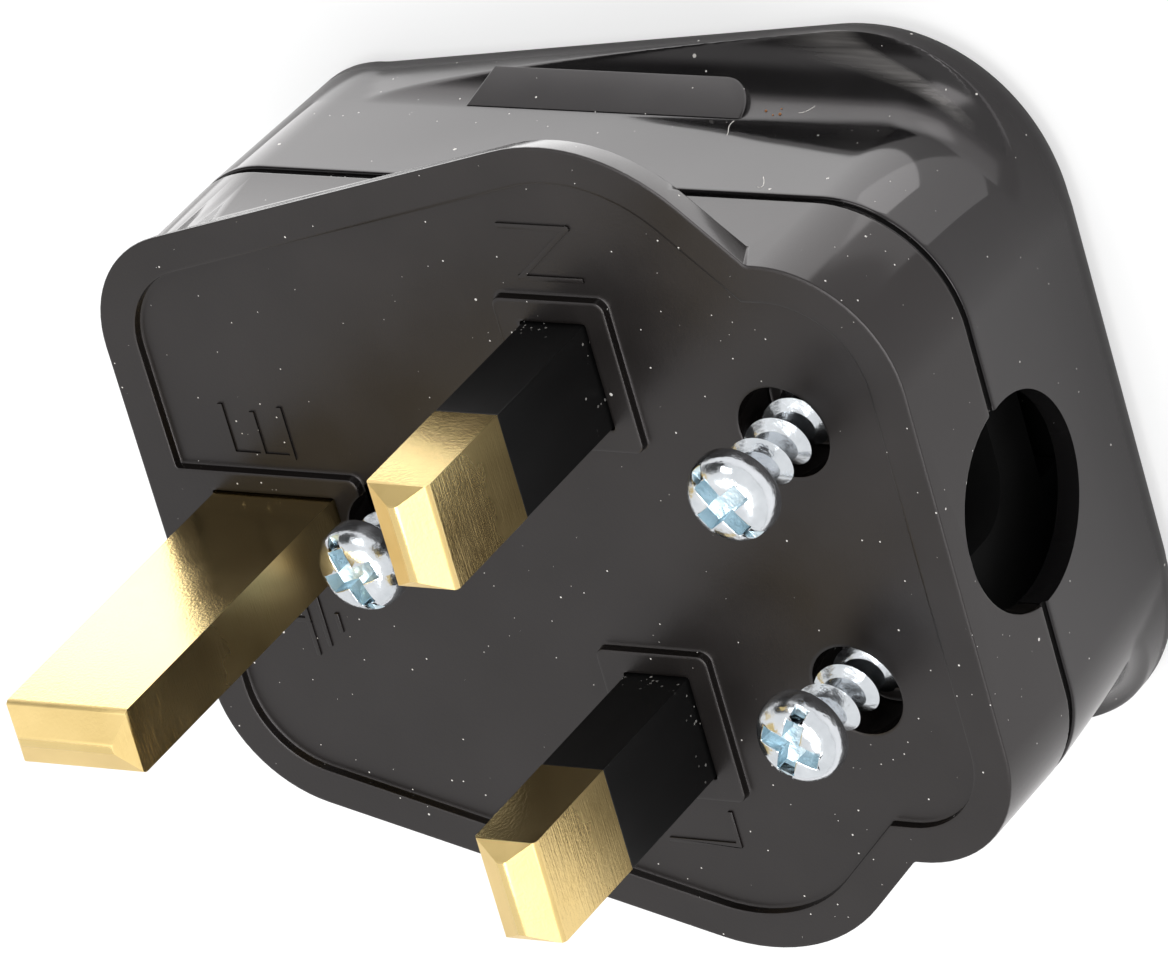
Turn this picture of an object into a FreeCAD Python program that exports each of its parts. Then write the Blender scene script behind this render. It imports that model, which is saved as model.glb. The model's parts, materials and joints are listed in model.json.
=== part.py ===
"""Rewirable three-pin mains plug: moulded base and cover, brass pins, cartridge fuse and cord grip.

Millimetres. The origin is on the pin face, midway between the line and neutral pins.
+Z points out along the pins, +Y to the earth pin, +X to the neutral pin, and the cord enters at -Y.
Depths are measured back from the pin face, so a depth of 5 lies at z = -5.
"""
import FreeCAD, Part
import math
import os
import re

import Sketcher
from FreeCAD import Rotation, Vector

SIZES = {
    # Pins
    "pin_offset": 11.115,
    "pin_width": 6.35,
    "pin_thickness": 3.97,
    "pin_reach": 17.2,
    "earth_offset": 22.23,
    "earth_width": 7.93,
    "earth_reach": 22.4,
    "tip_rise": 1.1,
    "tip_chamfer": 1.0,
    "tip_edge_radius": 0.4,
    "tip_ridge_radius": 0.8,
    "sleeve_reach": 9.0,
    "sleeve_wall": 0.6,
    "pin_fit": 0.1,
    # Housing plan and depth
    "body_half_width": 18.7,
    "body_earth_end": 28.5,
    "body_cable_end": 21.4,
    "body_earth_radius": 6.3,
    "body_cable_radius": 7.4,
    "parting_depth": 6.9,
    "back_depth": 21.0,
    "face_thickness": 2.4,
    "wall": 1.7,
    "back_wall": 1.8,
    "parting_chamfer": 0.25,
    # Flange of the base
    "flange_thickness": 1.85,
    "flange_draft": 0.6,
    "flange_earth_end": 30.6,
    "flange_earth_radius": 7.6,
    "flare_angle": 15.2,
    "lobe_tip": 26.65,
    "lobe_back": 5.6,
    "lobe_radius": 11.2,
    "lobe_tail": 11.6,
    "rim_width": 2.3,
    "recess_depth": 0.5,
    # Raised pads round the pins
    "pad_half_length": 4.7,
    "pad_half_width": 3.6,
    "earth_pad_half_width": 3.4,
    "earth_pad_start": 16.3,
    "pad_radius": 0.6,
    # Finger scoops, lips and grip bars of the cover
    "lip_angle": 6.9,
    "lip_tip": 23.3,
    "lip_cable_end": 20.6,
    "lip_radius": 11.8,
    "scoop_depth": 14.8,
    "scoop_radius": 4.0,
    "scoop_earth_end": 24.0,
    "back_edge_radius": 1.8,
    "side_draft": 0.6,
    "cable_face_draft": 0.8,
    "bar_depth": 15.0,
    "bar_height": 2.6,
    "bar_rise": 1.2,
    "bar_earth_end": 13.7,
    "bar_cable_end": 4.3,
    "bar_slant": 0.8,
    "bar_end_radius": 2.0,
    # Cord entry and grip
    "cord_radius": 6.0,
    "cord_axis_depth": 7.7,
    "grip_screw_offset": 8.1,
    "grip_screw_back": 12.6,
    "grip_half_length": 3.4,
    "grip_end_margin": 3.5,
    "grip_bridge_depth": 13.4,
    "grip_bridge_thickness": 3.4,
    "grip_arch_radius": 3.0,
    "grip_fit": 0.2,
    # Case and cord grip screws
    "case_boss_gap": 0.2,
    "screw_head_radius": 2.6,
    "screw_head_height": 2.0,
    "screw_dome_radius": 1.3,
    "screw_core_radius": 1.3,
    "screw_length": 15.0,
    "screw_point": 2.0,
    "recess_width": 0.9,
    "recess_half_span": 1.9,
    "recess_deep": 1.1,
    "case_screw_lift": 2.4,
    "grip_screw_n_lift": 4.9,
    "grip_screw_l_lift": 4.0,
    "grip_screw_n_lean": 1.4,
    "grip_screw_l_lean": 2.1,
    "counterbore_gap": 0.15,
    "counterbore_depth": 3.8,
    "clearance_gap": 0.6,
    "boss_wall": 0.7,
    "boss_depth": 8.4,
    "pilot_fit": 0.1,
    "pilot_depth": 9.5,
    # Pin heads and terminals
    "head_half_length": 3.7,
    "head_half_width": 3.4,
    "head_height": 9.0,
    "plate_height": 2.6,
    "wire_bore_radius": 2.0,
    "wire_bore_depth": 5.2,
    "terminal_thread_radius": 1.7,
    "terminal_thread_fit": 0.05,
    "terminal_head_radius": 2.4,
    "terminal_head_height": 1.8,
    "terminal_screw_bite": 1.4,
    "terminal_slot_width": 0.8,
    "terminal_slot_depth": 0.9,
    "line_plate_half_width": 3.5,
    "pillar_gap": 0.35,
    "pillar_y": 11.2,
    "pillar_half_length": 2.7,
    "pillar_half_width": 3.2,
    # Cartridge fuse and its clips
    "fuse_wall_gap": 0.4,
    "fuse_length": 25.4,
    "fuse_radius": 3.15,
    "fuse_cap_length": 6.0,
    "fuse_cap_wall": 0.25,
    "fuse_fit": 0.02,
    "clip_half_length": 2.4,
    "clip_thickness": 0.5,
    "clip_fit": 0.05,
    "clip_half_foot": 2.0,
    "clip_opening": 55.0,
    # Ribs of the cover that hold the pin heads down
    "rib_half_length": 2.4,
    "rib_fit": 0.1,
}

QUARTER_TURN = 90
FULL_TURN = 360
UP = Vector(0, 0, 1)

doc = FreeCAD.newDocument("three_pin_plug")
sheet = doc.addObject("Spreadsheet::Sheet", "Sizes")
for row, (alias, size) in enumerate(SIZES.items(), start=1):
    sheet.set(f"A{row}", alias)
    sheet.set(f"B{row}", str(size))
    sheet.setAlias(f"B{row}", alias)
doc.recompute()


# Formulas of size names

def tie(formula):
    """A formula of size names as an expression on the sheet."""
    return re.sub(r"[a-z]\w*", lambda word: f"Sizes.{word[0]}" if word[0] in SIZES else word[0], formula)


def value(formula):
    """What a formula of size names comes to now."""
    return float(sheet.evalExpression(tie(formula)))


def bind(feature, prop, formula):
    """Bind a property to a formula of size names."""
    feature.setExpression(prop, tie(formula))


def minus(formula):
    """The same formula with its sign turned round."""
    return f"-({formula})"


# Sketches

def sketch_on(body, role, offset="0", origin_x="0"):
    """New sketch on one of the body's origin planes, moved out along the plane's normal by offset."""
    plane = next(item for item in body.Origin.OriginFeatures if item.Role == role)
    sketch = body.newObject("Sketcher::SketchObject", "Sketch")
    sketch.AttachmentSupport = [(plane, "")]
    sketch.MapMode = "FlatFace"
    bind(sketch, "AttachmentOffset.Base.x", origin_x)
    bind(sketch, "AttachmentOffset.Base.z", offset)
    return sketch


def hold_point(sketch, geometry, end, x, y):
    """Hold one point of the sketch at the formulas x and y."""
    for kind, axis, formula in (("DistanceX", -2, x), ("DistanceY", -1, y)):
        if formula == "0":
            sketch.addConstraint(Sketcher.Constraint("PointOnObject", geometry, end, axis))
        else:
            index = sketch.addConstraint(Sketcher.Constraint(kind, -1, 1, geometry, end, value(formula)))
            bind(sketch, f"Constraints[{index}]", formula)


def hold_radius(sketch, geometry, formula):
    """Hold a circle or arc to a radius."""
    index = sketch.addConstraint(Sketcher.Constraint("Radius", geometry, value(formula)))
    bind(sketch, f"Constraints[{index}]", formula)


def circle(x, y, radius):
    """A circle, ready to be drawn in a sketch."""
    def draw(sketch):
        ring = Part.Circle(Vector(value(x), value(y), 0), UP, value(radius))
        geometry = sketch.addGeometry(ring, False)
        hold_point(sketch, geometry, 3, x, y)
        hold_radius(sketch, geometry, radius)
    return draw


def corner_arc(before, corner, after, radius):
    """Centre, tangent points and turn of the arc that rounds one corner."""
    into = (corner - before).normalize()
    out = (after - corner).normalize()
    turn = math.atan2(into.x * out.y - into.y * out.x, into.dot(out))
    reach = radius * math.tan(abs(turn) / 2)
    first = corner - into * reach
    last = corner + out * reach
    side = math.copysign(1, turn)
    centre = first + Vector(-into.y, into.x, 0) * (radius * side)
    return centre, first, last, turn


def outline(*corners):
    """A closed outline through corners (x, y) or (x, y, radius), ready to be drawn in a sketch."""
    def draw(sketch):
        points = [Vector(value(corner[0]), value(corner[1]), 0) for corner in corners]
        count = len(points)
        arcs = {}
        for number, corner in enumerate(corners):
            if len(corner) == 3:
                after = points[(number + 1) % count]
                arcs[number] = corner_arc(points[number - 1], points[number], after, value(corner[2]))
        guides = []
        sides = []
        for number, point in enumerate(points):
            following = (number + 1) % count
            guides.append(sketch.addGeometry(Part.LineSegment(point, points[following]), True))
            start = arcs[number][2] if number in arcs else point
            stop = arcs[following][1] if following in arcs else points[following]
            sides.append(sketch.addGeometry(Part.LineSegment(start, stop), False))
        for number, corner in enumerate(corners):
            guide, side, last_side = guides[number], sides[number], sides[number - 1]
            hold_point(sketch, guide, 1, corner[0], corner[1])
            sketch.addConstraint(Sketcher.Constraint("Coincident", guides[number - 1], 2, guide, 1))
            if number not in arcs:
                sketch.addConstraint(Sketcher.Constraint("Coincident", side, 1, guide, 1))
                sketch.addConstraint(Sketcher.Constraint("Coincident", last_side, 2, guide, 1))
                continue
            round_corner(sketch, arcs[number], guides[number - 1], last_side, guide, side, corner[2])
    return draw


def round_corner(sketch, arc, last_guide, last_side, guide, side, radius):
    """Draw the arc between two sides of an outline and keep it tangent to both."""
    centre, first, last, turn = arc
    begin, finish = (first, last) if turn > 0 else (last, first)
    ring = Part.Circle(centre, UP, (first - centre).Length)
    from_angle = math.atan2(begin.y - centre.y, begin.x - centre.x)
    geometry = sketch.addGeometry(Part.ArcOfCircle(ring, from_angle, from_angle + abs(turn)), False)
    first_end, last_end = (1, 2) if turn > 0 else (2, 1)
    sketch.addConstraint(Sketcher.Constraint("PointOnObject", last_side, 2, last_guide))
    sketch.addConstraint(Sketcher.Constraint("PointOnObject", side, 1, guide))
    sketch.addConstraint(Sketcher.Constraint("Tangent", last_side, 2, geometry, first_end))
    sketch.addConstraint(Sketcher.Constraint("Tangent", geometry, last_end, side, 1))
    hold_radius(sketch, geometry, radius)


def rectangle(left, right, bottom, top, radius=None):
    """A rectangle, with rounded corners where a radius is given."""
    rounding = () if radius is None else (radius,)
    places = ((left, bottom), (right, bottom), (right, top), (left, top))
    return outline(*(place + rounding for place in places))


# Features

def new_body(label):
    """New body whose label names its file."""
    body = doc.addObject("PartDesign::Body", label)
    body.Label = label
    return body


def extrude(body, kind, sketch, length, loops, symmetric=False, reverse=False):
    """Pad or pocket of the loops drawn in the sketch."""
    for draw in loops:
        draw(sketch)
    feature = body.newObject(f"PartDesign::{kind}", kind)
    feature.Profile = sketch
    feature.SideType = "Symmetric" if symmetric else "One side"
    feature.Reversed = reverse
    bind(feature, "Length", length)
    return feature


def slab(body, top, bottom, *loops):
    """Material between two heights."""
    return extrude(body, "Pad", sketch_on(body, "XY_Plane", bottom), f"{top} - ({bottom})", loops)


def cut(body, top, bottom, *loops):
    """Room cut between two heights."""
    return extrude(body, "Pocket", sketch_on(body, "XY_Plane", top), f"{top} - ({bottom})", loops)


def edges_at(feature, test):
    """Names of the edges whose every vertex passes the test."""
    doc.recompute()
    return [
        f"Edge{number}"
        for number, edge in enumerate(feature.Shape.Edges, start=1)
        if all(test(vertex.Point) for vertex in edge.Vertexes)
    ]


def blend_edges(body, kind, size_name, formula, test):
    """Fillet or chamfer of the edges that pass the test."""
    base = body.Tip
    names = edges_at(base, test)
    feature = body.newObject(f"PartDesign::{kind}", kind)
    feature.Base = (base, names)
    bind(feature, size_name, formula)
    return feature


def near(number, formula):
    """Whether a number is what the formula comes to."""
    return abs(number - value(formula)) < 1e-4


# Plans that several pieces share

def inset_corner(x, y, normal_a, normal_b, inset):
    """A corner drawn in by inset from its two sides, whose outward normals are angles in degrees."""
    share = f"({inset}) / (1 + cos({normal_a} - ({normal_b})))"
    return (
        f"{x} - {share} * (cos({normal_a}) + cos({normal_b}))",
        f"{y} - {share} * (sin({normal_a}) + sin({normal_b}))",
    )


def mirrored(corners):
    """Corners of the +X half, then the same corners at -X, as one closed outline."""
    opposite = [(minus(corner[0]),) + corner[1:] for corner in reversed(corners)]
    return outline(*corners, *opposite)


def housing_plan(inset="0", side_draft="0", cable_draft="0"):
    """Plan of the housing body, drawn in all round by inset and at its sides and cable end by a draft."""
    side = f"body_half_width - ({inset}) - {side_draft}"
    return mirrored([
        (side, f"{inset} + {cable_draft} - body_cable_end", f"body_cable_radius - ({inset})"),
        (side, f"body_earth_end - ({inset})", f"body_earth_radius - ({inset})"),
    ])


FLANGE_EARTH_HALF = "lobe_tip - tan(flare_angle) * (flange_earth_end + lobe_back)"
LOBE_TAIL_NORMAL = "-45"


def flange_plan(inset="0"):
    """Bell-shaped plan of the flange, drawn in by inset. Its tail ends inside the housing body."""
    tip_x, tip_y = inset_corner("lobe_tip", "-lobe_back", "flare_angle", LOBE_TAIL_NORMAL, inset)
    earth_x, earth_y = inset_corner(FLANGE_EARTH_HALF, "flange_earth_end", "flare_angle", "90", inset)
    return mirrored([
        (f"{tip_x} - lobe_tail", f"{tip_y} - lobe_tail"),
        (tip_x, tip_y, f"lobe_radius - ({inset})"),
        (earth_x, earth_y, f"flange_earth_radius - ({inset})"),
    ])


def drafted(body, top, top_plan, bottom, bottom_plan):
    """Block whose plan changes evenly from one height to another."""
    upper = sketch_on(body, "XY_Plane", top)
    top_plan(upper)
    lower = sketch_on(body, "XY_Plane", bottom)
    bottom_plan(lower)
    block = body.newObject("PartDesign::AdditiveLoft", "Loft")
    block.Profile = upper
    block.Sections = [lower]
    block.Ruled = True


def parting_edge(body, wall_end):
    """End of the outer wall, chamfered at the parting plane so that base and cover meet in a fine groove."""
    drafted(body, wall_end, housing_plan(), "-parting_depth", housing_plan("parting_chamfer"))


def cord_mouth(body):
    """Round cord entry through the wall at the cable end, half in the base and half in the cover."""
    sketch = sketch_on(body, "XZ_Plane", "body_cable_end + wall")
    extrude(body, "Pocket", sketch, "3 * wall", [circle("0", "-cord_axis_depth", "cord_radius")])


# Places of the screws and pins on the pin face
GRIP_SCREWS = {"n": "grip_screw_offset", "l": "-grip_screw_offset"}
GRIP_Y = "-grip_screw_back"
PIN_X = {"neutral": "pin_offset", "line": "-pin_offset"}
COUNTERBORE_RADIUS = "screw_head_radius + counterbore_gap"
BOSS_RADIUS = f"{COUNTERBORE_RADIUS} + boss_wall"
PILOT_RADIUS = "screw_core_radius + pilot_fit"
CASE_SCREW_Y = f"earth_offset - head_half_length - case_boss_gap - ({BOSS_RADIUS})"

# Places of the fuse and the line wire's pillar behind the pin face
CLIP_INNER = "fuse_radius + clip_fit"
CLIP_OUTER = f"{CLIP_INNER} + clip_thickness"
FUSE_X = f"{CLIP_OUTER} + fuse_wall_gap + wall - body_half_width"
PILLAR_X = f"{FUSE_X} + fuse_radius + pillar_gap + pillar_half_length"
PLATE_BACK = "-face_thickness - plate_height"
FUSE_Z = f"{PLATE_BACK} - ({CLIP_OUTER})"
FUSE_START = "-fuse_cap_length / 2"
FAR_CLIP_Y = "fuse_length - fuse_cap_length"


# Base moulding

def base_moulding():
    """Base with the bell-shaped flange, the recessed pin face, apertures, screw bosses and half the mouth."""
    body = new_body("base_moulding")
    wall_end = "parting_chamfer - parting_depth"
    slab(body, "0", wall_end, housing_plan())
    parting_edge(body, wall_end)
    drafted(body, "0", flange_plan(), "-flange_thickness", flange_plan("flange_draft"))
    cut(body, "0", "-recess_depth", flange_plan("rim_width"))
    panel_side = "body_half_width - rim_width"
    panel_radius = "body_cable_radius - rim_width"
    cut(body, "0", "-recess_depth", mirrored([
        (panel_side, "rim_width - body_cable_end", panel_radius),
        (panel_side, "0"),
    ]))
    for x in PIN_X.values():
        slab(body, "0", "-recess_depth", rectangle(
            f"{x} - pad_half_length", f"{x} + pad_half_length",
            "-pad_half_width", "pad_half_width", "pad_radius"))
    slab(body, "0", "-recess_depth", rectangle(
        "-earth_pad_half_width", "earth_pad_half_width",
        "earth_pad_start", "flange_earth_end - rim_width / 2", "pad_radius"))
    cut(body, "-face_thickness", "-parting_depth", housing_plan("wall"))
    for x in PIN_X.values():
        cut(body, "0", "-face_thickness", rectangle(
            f"{x} - pin_width / 2 - pin_fit", f"{x} + pin_width / 2 + pin_fit",
            "-pin_thickness / 2 - pin_fit", "pin_thickness / 2 + pin_fit"))
    cut(body, "0", "-face_thickness", rectangle(
        "-pin_thickness / 2 - pin_fit", "pin_thickness / 2 + pin_fit",
        "earth_offset - earth_width / 2 - pin_fit", "earth_offset + earth_width / 2 + pin_fit"))
    for x in GRIP_SCREWS.values():
        screw_boss(body, x, GRIP_Y, "boss_depth")
    screw_boss(body, "0", CASE_SCREW_Y, "parting_depth")
    cord_mouth(body)
    return body


def screw_boss(body, x, y, depth):
    """Boss behind the pin face, with a counterbore for the screw's head and a clearance hole."""
    slab(body, "-face_thickness", minus(depth), circle(x, y, BOSS_RADIUS))
    cut(body, "0", "-counterbore_depth", circle(x, y, COUNTERBORE_RADIUS))
    cut(body, "-counterbore_depth", minus(depth), circle(x, y, "screw_core_radius + clearance_gap"))


# Cover moulding

CAVITY_DEPTH = "back_depth - back_wall"
SCOOP_END = "scoop_depth + scoop_radius"
WALL_START = "parting_depth + parting_chamfer"
SCOOP_SHARE = f"(scoop_depth - ({WALL_START})) / (back_depth - ({WALL_START}))"
BAR_SHARE = f"(bar_depth - ({WALL_START})) / (back_depth - ({WALL_START}))"


def cover_moulding():
    """Cover with finger scoops under flared lips, grip bars, boss, hold-down ribs and half the mouth."""
    body = new_body("cover_moulding")
    back_plan = housing_plan("0", "side_draft", "cable_face_draft")
    drafted(body, minus(WALL_START), housing_plan(), "-back_depth", back_plan)
    round_back_edge(body)
    parting_edge(body, minus(WALL_START))
    lips = cover_lips()
    joined = body.newObject("PartDesign::Boolean", "Boolean")
    joined.Type = "Fuse"
    joined.setObjects([lips])
    for sign in (1, -1):
        grip_bar(body, sign)
    cut(body, "-parting_depth", minus(CAVITY_DEPTH), housing_plan("wall"))
    slab(body, "-parting_depth", minus(CAVITY_DEPTH), circle("0", CASE_SCREW_Y, BOSS_RADIUS))
    cut(body, "-parting_depth", "-parting_depth - pilot_depth", circle("0", CASE_SCREW_Y, PILOT_RADIUS))
    hold_down_ribs(body)
    cord_mouth(body)
    return body


def round_back_edge(body):
    """Round the edge of the flat back."""
    blend_edges(body, "Fillet", "Radius", "back_edge_radius", lambda point: near(point.z, "-back_depth"))


def cover_lips():
    """Flared back of the cover, which stands out past the housing as a lip on both sides."""
    body = new_body("cover_lips")
    flank_end = "body_earth_end - body_earth_radius"
    flank = f"lip_tip - tan(lip_angle) * ({flank_end} + lip_cable_end)"
    slab(body, "-scoop_depth", "-back_depth", mirrored([
        ("lip_tip", "-lip_cable_end", "lip_radius"),
        (flank, flank_end),
    ]))
    round_back_edge(body)
    for sign in (1, -1):
        finger_scoop(body, sign)
    return body


def finger_scoop(body, sign):
    """Hollow under the lip: a straight run along the side, then round the corner at the cable end."""
    hand = "" if sign > 0 else "-"
    side = f"body_half_width - side_draft * {SCOOP_SHARE}"
    axis_x = f"{side} - body_cable_radius"
    axis_y = f"body_cable_end - cable_face_draft * {SCOOP_SHARE} - body_cable_radius"

    def section(wall_x):
        inner = f"{hand}({wall_x})"
        outer = f"{hand}({wall_x} + lip_tip)"
        return outline(
            (inner, "wall - scoop_depth"),
            (inner, minus(SCOOP_END), "scoop_radius"),
            (outer, minus(SCOOP_END)),
            (outer, "wall - scoop_depth"))

    run = sketch_on(body, "XZ_Plane", axis_y)
    extrude(body, "Pocket", run, f"{axis_y} + scoop_earth_end", [section(side)])
    corner = sketch_on(body, "XZ_Plane", axis_y, f"{hand}({axis_x})")
    section("body_cable_radius")(corner)
    groove = body.newObject("PartDesign::Groove", "Groove")
    groove.Profile = corner
    groove.ReferenceAxis = (corner, ["V_Axis"])
    groove.Angle = QUARTER_TURN
    groove.Reversed = sign > 0


def grip_bar(body, sign):
    """Bar in the scoop: its face slopes out of the wall, its earth end is slanted, its cable end rounded."""
    hand = "" if sign > 0 else "-"
    start = f"body_half_width - side_draft * {BAR_SHARE}"
    sketch = sketch_on(body, "YZ_Plane", f"{hand}({start} - wall / 2)")
    back = "-bar_depth - bar_height"
    bar = [outline(
        ("-bar_cable_end", "-bar_depth"),
        ("-bar_cable_end", back, "bar_end_radius"),
        ("bar_earth_end - bar_slant", back),
        ("bar_earth_end", "-bar_depth"))]
    extrude(body, "Pad", sketch, "wall / 2 + bar_rise", bar, reverse=sign < 0)
    crest = f"{hand}({start} + bar_rise)"
    slope = sketch_on(body, "XZ_Plane", "bar_cable_end")
    extrude(body, "Pocket", slope, "bar_cable_end + bar_earth_end", [outline(
        (f"{hand}({start})", "-bar_depth"), (crest, back), (crest, "-bar_depth"))])


def hold_down_ribs(body):
    """Ribs that stop the pin heads from being pushed back into the housing."""
    head_end = "-face_thickness - head_height - rib_fit"
    floor = minus(CAVITY_DEPTH)
    across = ("-rib_half_length", "rib_half_length")
    clear_of_screw = "terminal_head_radius + rib_fit"
    for name, top in (("neutral", head_end), ("line", f"{PLATE_BACK} - rib_fit")):
        x = PIN_X[name]
        slab(body, top, floor, rectangle(f"{x} + {clear_of_screw}", f"{x} + head_half_length", *across))
    slab(body, head_end, floor, rectangle(
        *across, f"earth_offset + {clear_of_screw}", "earth_offset + head_half_length"))


# Pins and sleeves

def place(body, x, y, z="0", turn=0, lean=0, heading=0):
    """Stand a body, drawn about its own axis, at its place: turned, then leant towards a heading."""
    hinge = Rotation(UP, heading).multVec(Vector(0, 1, 0))
    body.Placement.Rotation = Rotation(hinge, lean) * Rotation(UP, turn)
    for axis, formula in zip("xyz", (x, y, z)):
        bind(body, f"Placement.Base.{axis}", formula)


def blade(body, start, width, reach):
    """Blade of a pin: its tip has two slopes that meet in a ridge, and chamfered ends."""
    edge = "pin_thickness / 2"
    shoulder = f"{reach} - tip_rise"
    extrude(body, "Pad", sketch_on(body, "YZ_Plane"), width, [outline(
        (minus(edge), start),
        (edge, start),
        (edge, shoulder, "tip_edge_radius"),
        ("0", reach, "tip_ridge_radius"),
        (minus(edge), shoulder, "tip_edge_radius"))], symmetric=True)
    for hand in ("", "-"):
        extrude(body, "Pocket", sketch_on(body, "XZ_Plane"), "2 * pin_thickness", [outline(
            (f"{hand}({width} / 2 + tip_chamfer)", f"{reach} - 2 * tip_chamfer"),
            (f"{hand}({width} / 2 + tip_chamfer)", f"{reach} + tip_chamfer"),
            (f"{hand}({width} / 2 - 2 * tip_chamfer)", f"{reach} + tip_chamfer"))], symmetric=True)


def pillar_head(body):
    """Head of a pin behind the face, bored for the wire and tapped for its clamp screw."""
    back = "-face_thickness - head_height"
    slab(body, "-face_thickness", back, rectangle(
        "-head_half_length", "head_half_length", "-head_half_width", "head_half_width"))
    bore = sketch_on(body, "XZ_Plane")
    extrude(body, "Pocket", bore, "4 * head_half_width",
            [circle("0", "-face_thickness - wire_bore_depth", "wire_bore_radius")], symmetric=True)
    cut(body, "-face_thickness - wire_bore_depth", back,
        circle("0", "0", "terminal_thread_radius + terminal_thread_fit"))


def earth_pin():
    """Long pin, square to the others, with a pillar head."""
    body = new_body("earth_pin")
    slab(body, "pin_fit", "-face_thickness", rectangle(
        "-earth_width / 2", "earth_width / 2", "-pin_thickness / 2", "pin_thickness / 2"))
    blade(body, "0", "earth_width", "earth_reach")
    pillar_head(body)
    place(body, "0", "earth_offset", turn=QUARTER_TURN)
    return body


def sleeved_blade(body):
    """Blade with a waist for the sleeve, so that the sleeve lies flush with the bare end."""
    half_width = "pin_width / 2 - sleeve_wall"
    half_thickness = "pin_thickness / 2 - sleeve_wall"
    slab(body, "sleeve_reach", "-face_thickness", rectangle(
        minus(half_width), half_width, minus(half_thickness), half_thickness))
    blade(body, "sleeve_reach", "pin_width", "pin_reach")


def neutral_pin():
    """Sleeved pin with a pillar head."""
    body = new_body("neutral_pin")
    sleeved_blade(body)
    pillar_head(body)
    place(body, PIN_X["neutral"], "0")
    return body


def line_pin():
    """Sleeved pin whose flat head carries a fuse clip."""
    body = new_body("line_pin")
    sleeved_blade(body)
    outer = f"pin_offset + {FUSE_X} - line_plate_half_width"
    slab(body, "-face_thickness", "-face_thickness - plate_height", rectangle(
        outer, "head_half_length", "-head_half_width", "head_half_width"))
    place(body, PIN_X["line"], "0")
    return body


def sleeve(name):
    """Plastic sleeve moulded on the waist of a pin."""
    body = new_body(f"{name}_sleeve")
    slab(body, "sleeve_reach", "-face_thickness", rectangle(
        "-pin_width / 2", "pin_width / 2", "-pin_thickness / 2", "pin_thickness / 2"))
    half_width = "pin_width / 2 - sleeve_wall"
    half_thickness = "pin_thickness / 2 - sleeve_wall"
    cut(body, "sleeve_reach", "-face_thickness", rectangle(
        minus(half_width), half_width, minus(half_thickness), half_thickness))
    place(body, PIN_X[name], "0")
    return body


# Line terminal, fuse and clips

def line_terminal():
    """Plate under the far fuse clip, with a pillar beside the fuse for the line wire."""
    body = new_body("line_terminal")
    pillar_back = "-face_thickness - head_height"
    inner = f"{PILLAR_X} + pillar_half_length"
    outer = f"{PILLAR_X} - pillar_half_length"
    near_side = "pillar_y - pillar_half_width"
    slab(body, "-face_thickness", PLATE_BACK, rectangle(
        f"{FUSE_X} - line_plate_half_width", outer, near_side, f"{FAR_CLIP_Y} + head_half_width"))
    slab(body, "-face_thickness", pillar_back, rectangle(
        outer, inner, near_side, "pillar_y + pillar_half_width"))
    bore = sketch_on(body, "XZ_Plane", minus("pillar_y"))
    extrude(body, "Pocket", bore, "4 * pillar_half_width",
            [circle(PILLAR_X, "-face_thickness - wire_bore_depth", "wire_bore_radius")], symmetric=True)
    cut(body, "-face_thickness - wire_bore_depth", pillar_back,
        circle(PILLAR_X, "pillar_y", "terminal_thread_radius + terminal_thread_fit"))
    return body


def fuse_clip(name, y):
    """Spring clip: a foot on the plate and two arms that grip the fuse's cap."""
    body = new_body(f"fuse_clip_{name}")
    ring = sketch_on(body, "XZ_Plane", minus(y))
    extrude(body, "Pad", ring, "2 * clip_half_length",
            [circle(FUSE_X, FUSE_Z, CLIP_OUTER), circle(FUSE_X, FUSE_Z, CLIP_INNER)], symmetric=True)
    mouth = sketch_on(body, "XZ_Plane", minus(y))
    gap = f"({CLIP_OUTER} + clip_thickness)"
    extrude(body, "Pocket", mouth, "4 * clip_half_length", [outline(
        (FUSE_X, FUSE_Z),
        (f"{FUSE_X} - {gap} * tan(clip_opening)", f"{FUSE_Z} - {gap}"),
        (f"{FUSE_X} + {gap} * tan(clip_opening)", f"{FUSE_Z} - {gap}"))], symmetric=True)
    foot = sketch_on(body, "XZ_Plane", minus(y))
    crown = f"sqrt(({CLIP_INNER}) ^ 2 - clip_half_foot ^ 2)"
    extrude(body, "Pad", foot, "2 * clip_half_length", [outline(
        (f"{FUSE_X} - clip_half_foot", f"{FUSE_Z} + {CLIP_OUTER}"),
        (f"{FUSE_X} - clip_half_foot", f"{FUSE_Z} + {crown}"),
        (f"{FUSE_X} - clip_half_foot / 2", f"{FUSE_Z} + {CLIP_OUTER} - clip_thickness / 2"),
        (f"{FUSE_X} + clip_half_foot / 2", f"{FUSE_Z} + {CLIP_OUTER} - clip_thickness / 2"),
        (f"{FUSE_X} + clip_half_foot", f"{FUSE_Z} + {crown}"),
        (f"{FUSE_X} + clip_half_foot", f"{FUSE_Z} + {CLIP_OUTER}"))], symmetric=True)
    return body


def fuse_cylinder(name, start, length, radius):
    """Cylinder along the fuse's axis."""
    rod = doc.addObject("Part::Cylinder", name)
    bind(rod, "Radius", radius)
    bind(rod, "Height", length)
    rod.Placement.Rotation = Rotation(Vector(1, 0, 0), -90)
    bind(rod, "Placement.Base.x", FUSE_X)
    bind(rod, "Placement.Base.y", start)
    bind(rod, "Placement.Base.z", FUSE_Z)
    return rod


def fuse_barrel():
    """Ceramic barrel between the end walls of the two caps."""
    end = "fuse_cap_wall + fuse_fit"
    return fuse_cylinder("fuse_barrel", f"{FUSE_START} + {end}", f"fuse_length - 2 * ({end})",
                         "fuse_radius - fuse_cap_wall - fuse_fit")


def fuse_cap(name, start, bore_start):
    """Metal cap closed at the fuse's end."""
    shell = fuse_cylinder(f"{name}_shell", start, "fuse_cap_length", "fuse_radius")
    bore = fuse_cylinder(f"{name}_bore", bore_start, "fuse_cap_length", "fuse_radius - fuse_cap_wall")
    cap = doc.addObject("Part::Cut", name)
    cap.Base = shell
    cap.Tool = bore
    return cap


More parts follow.
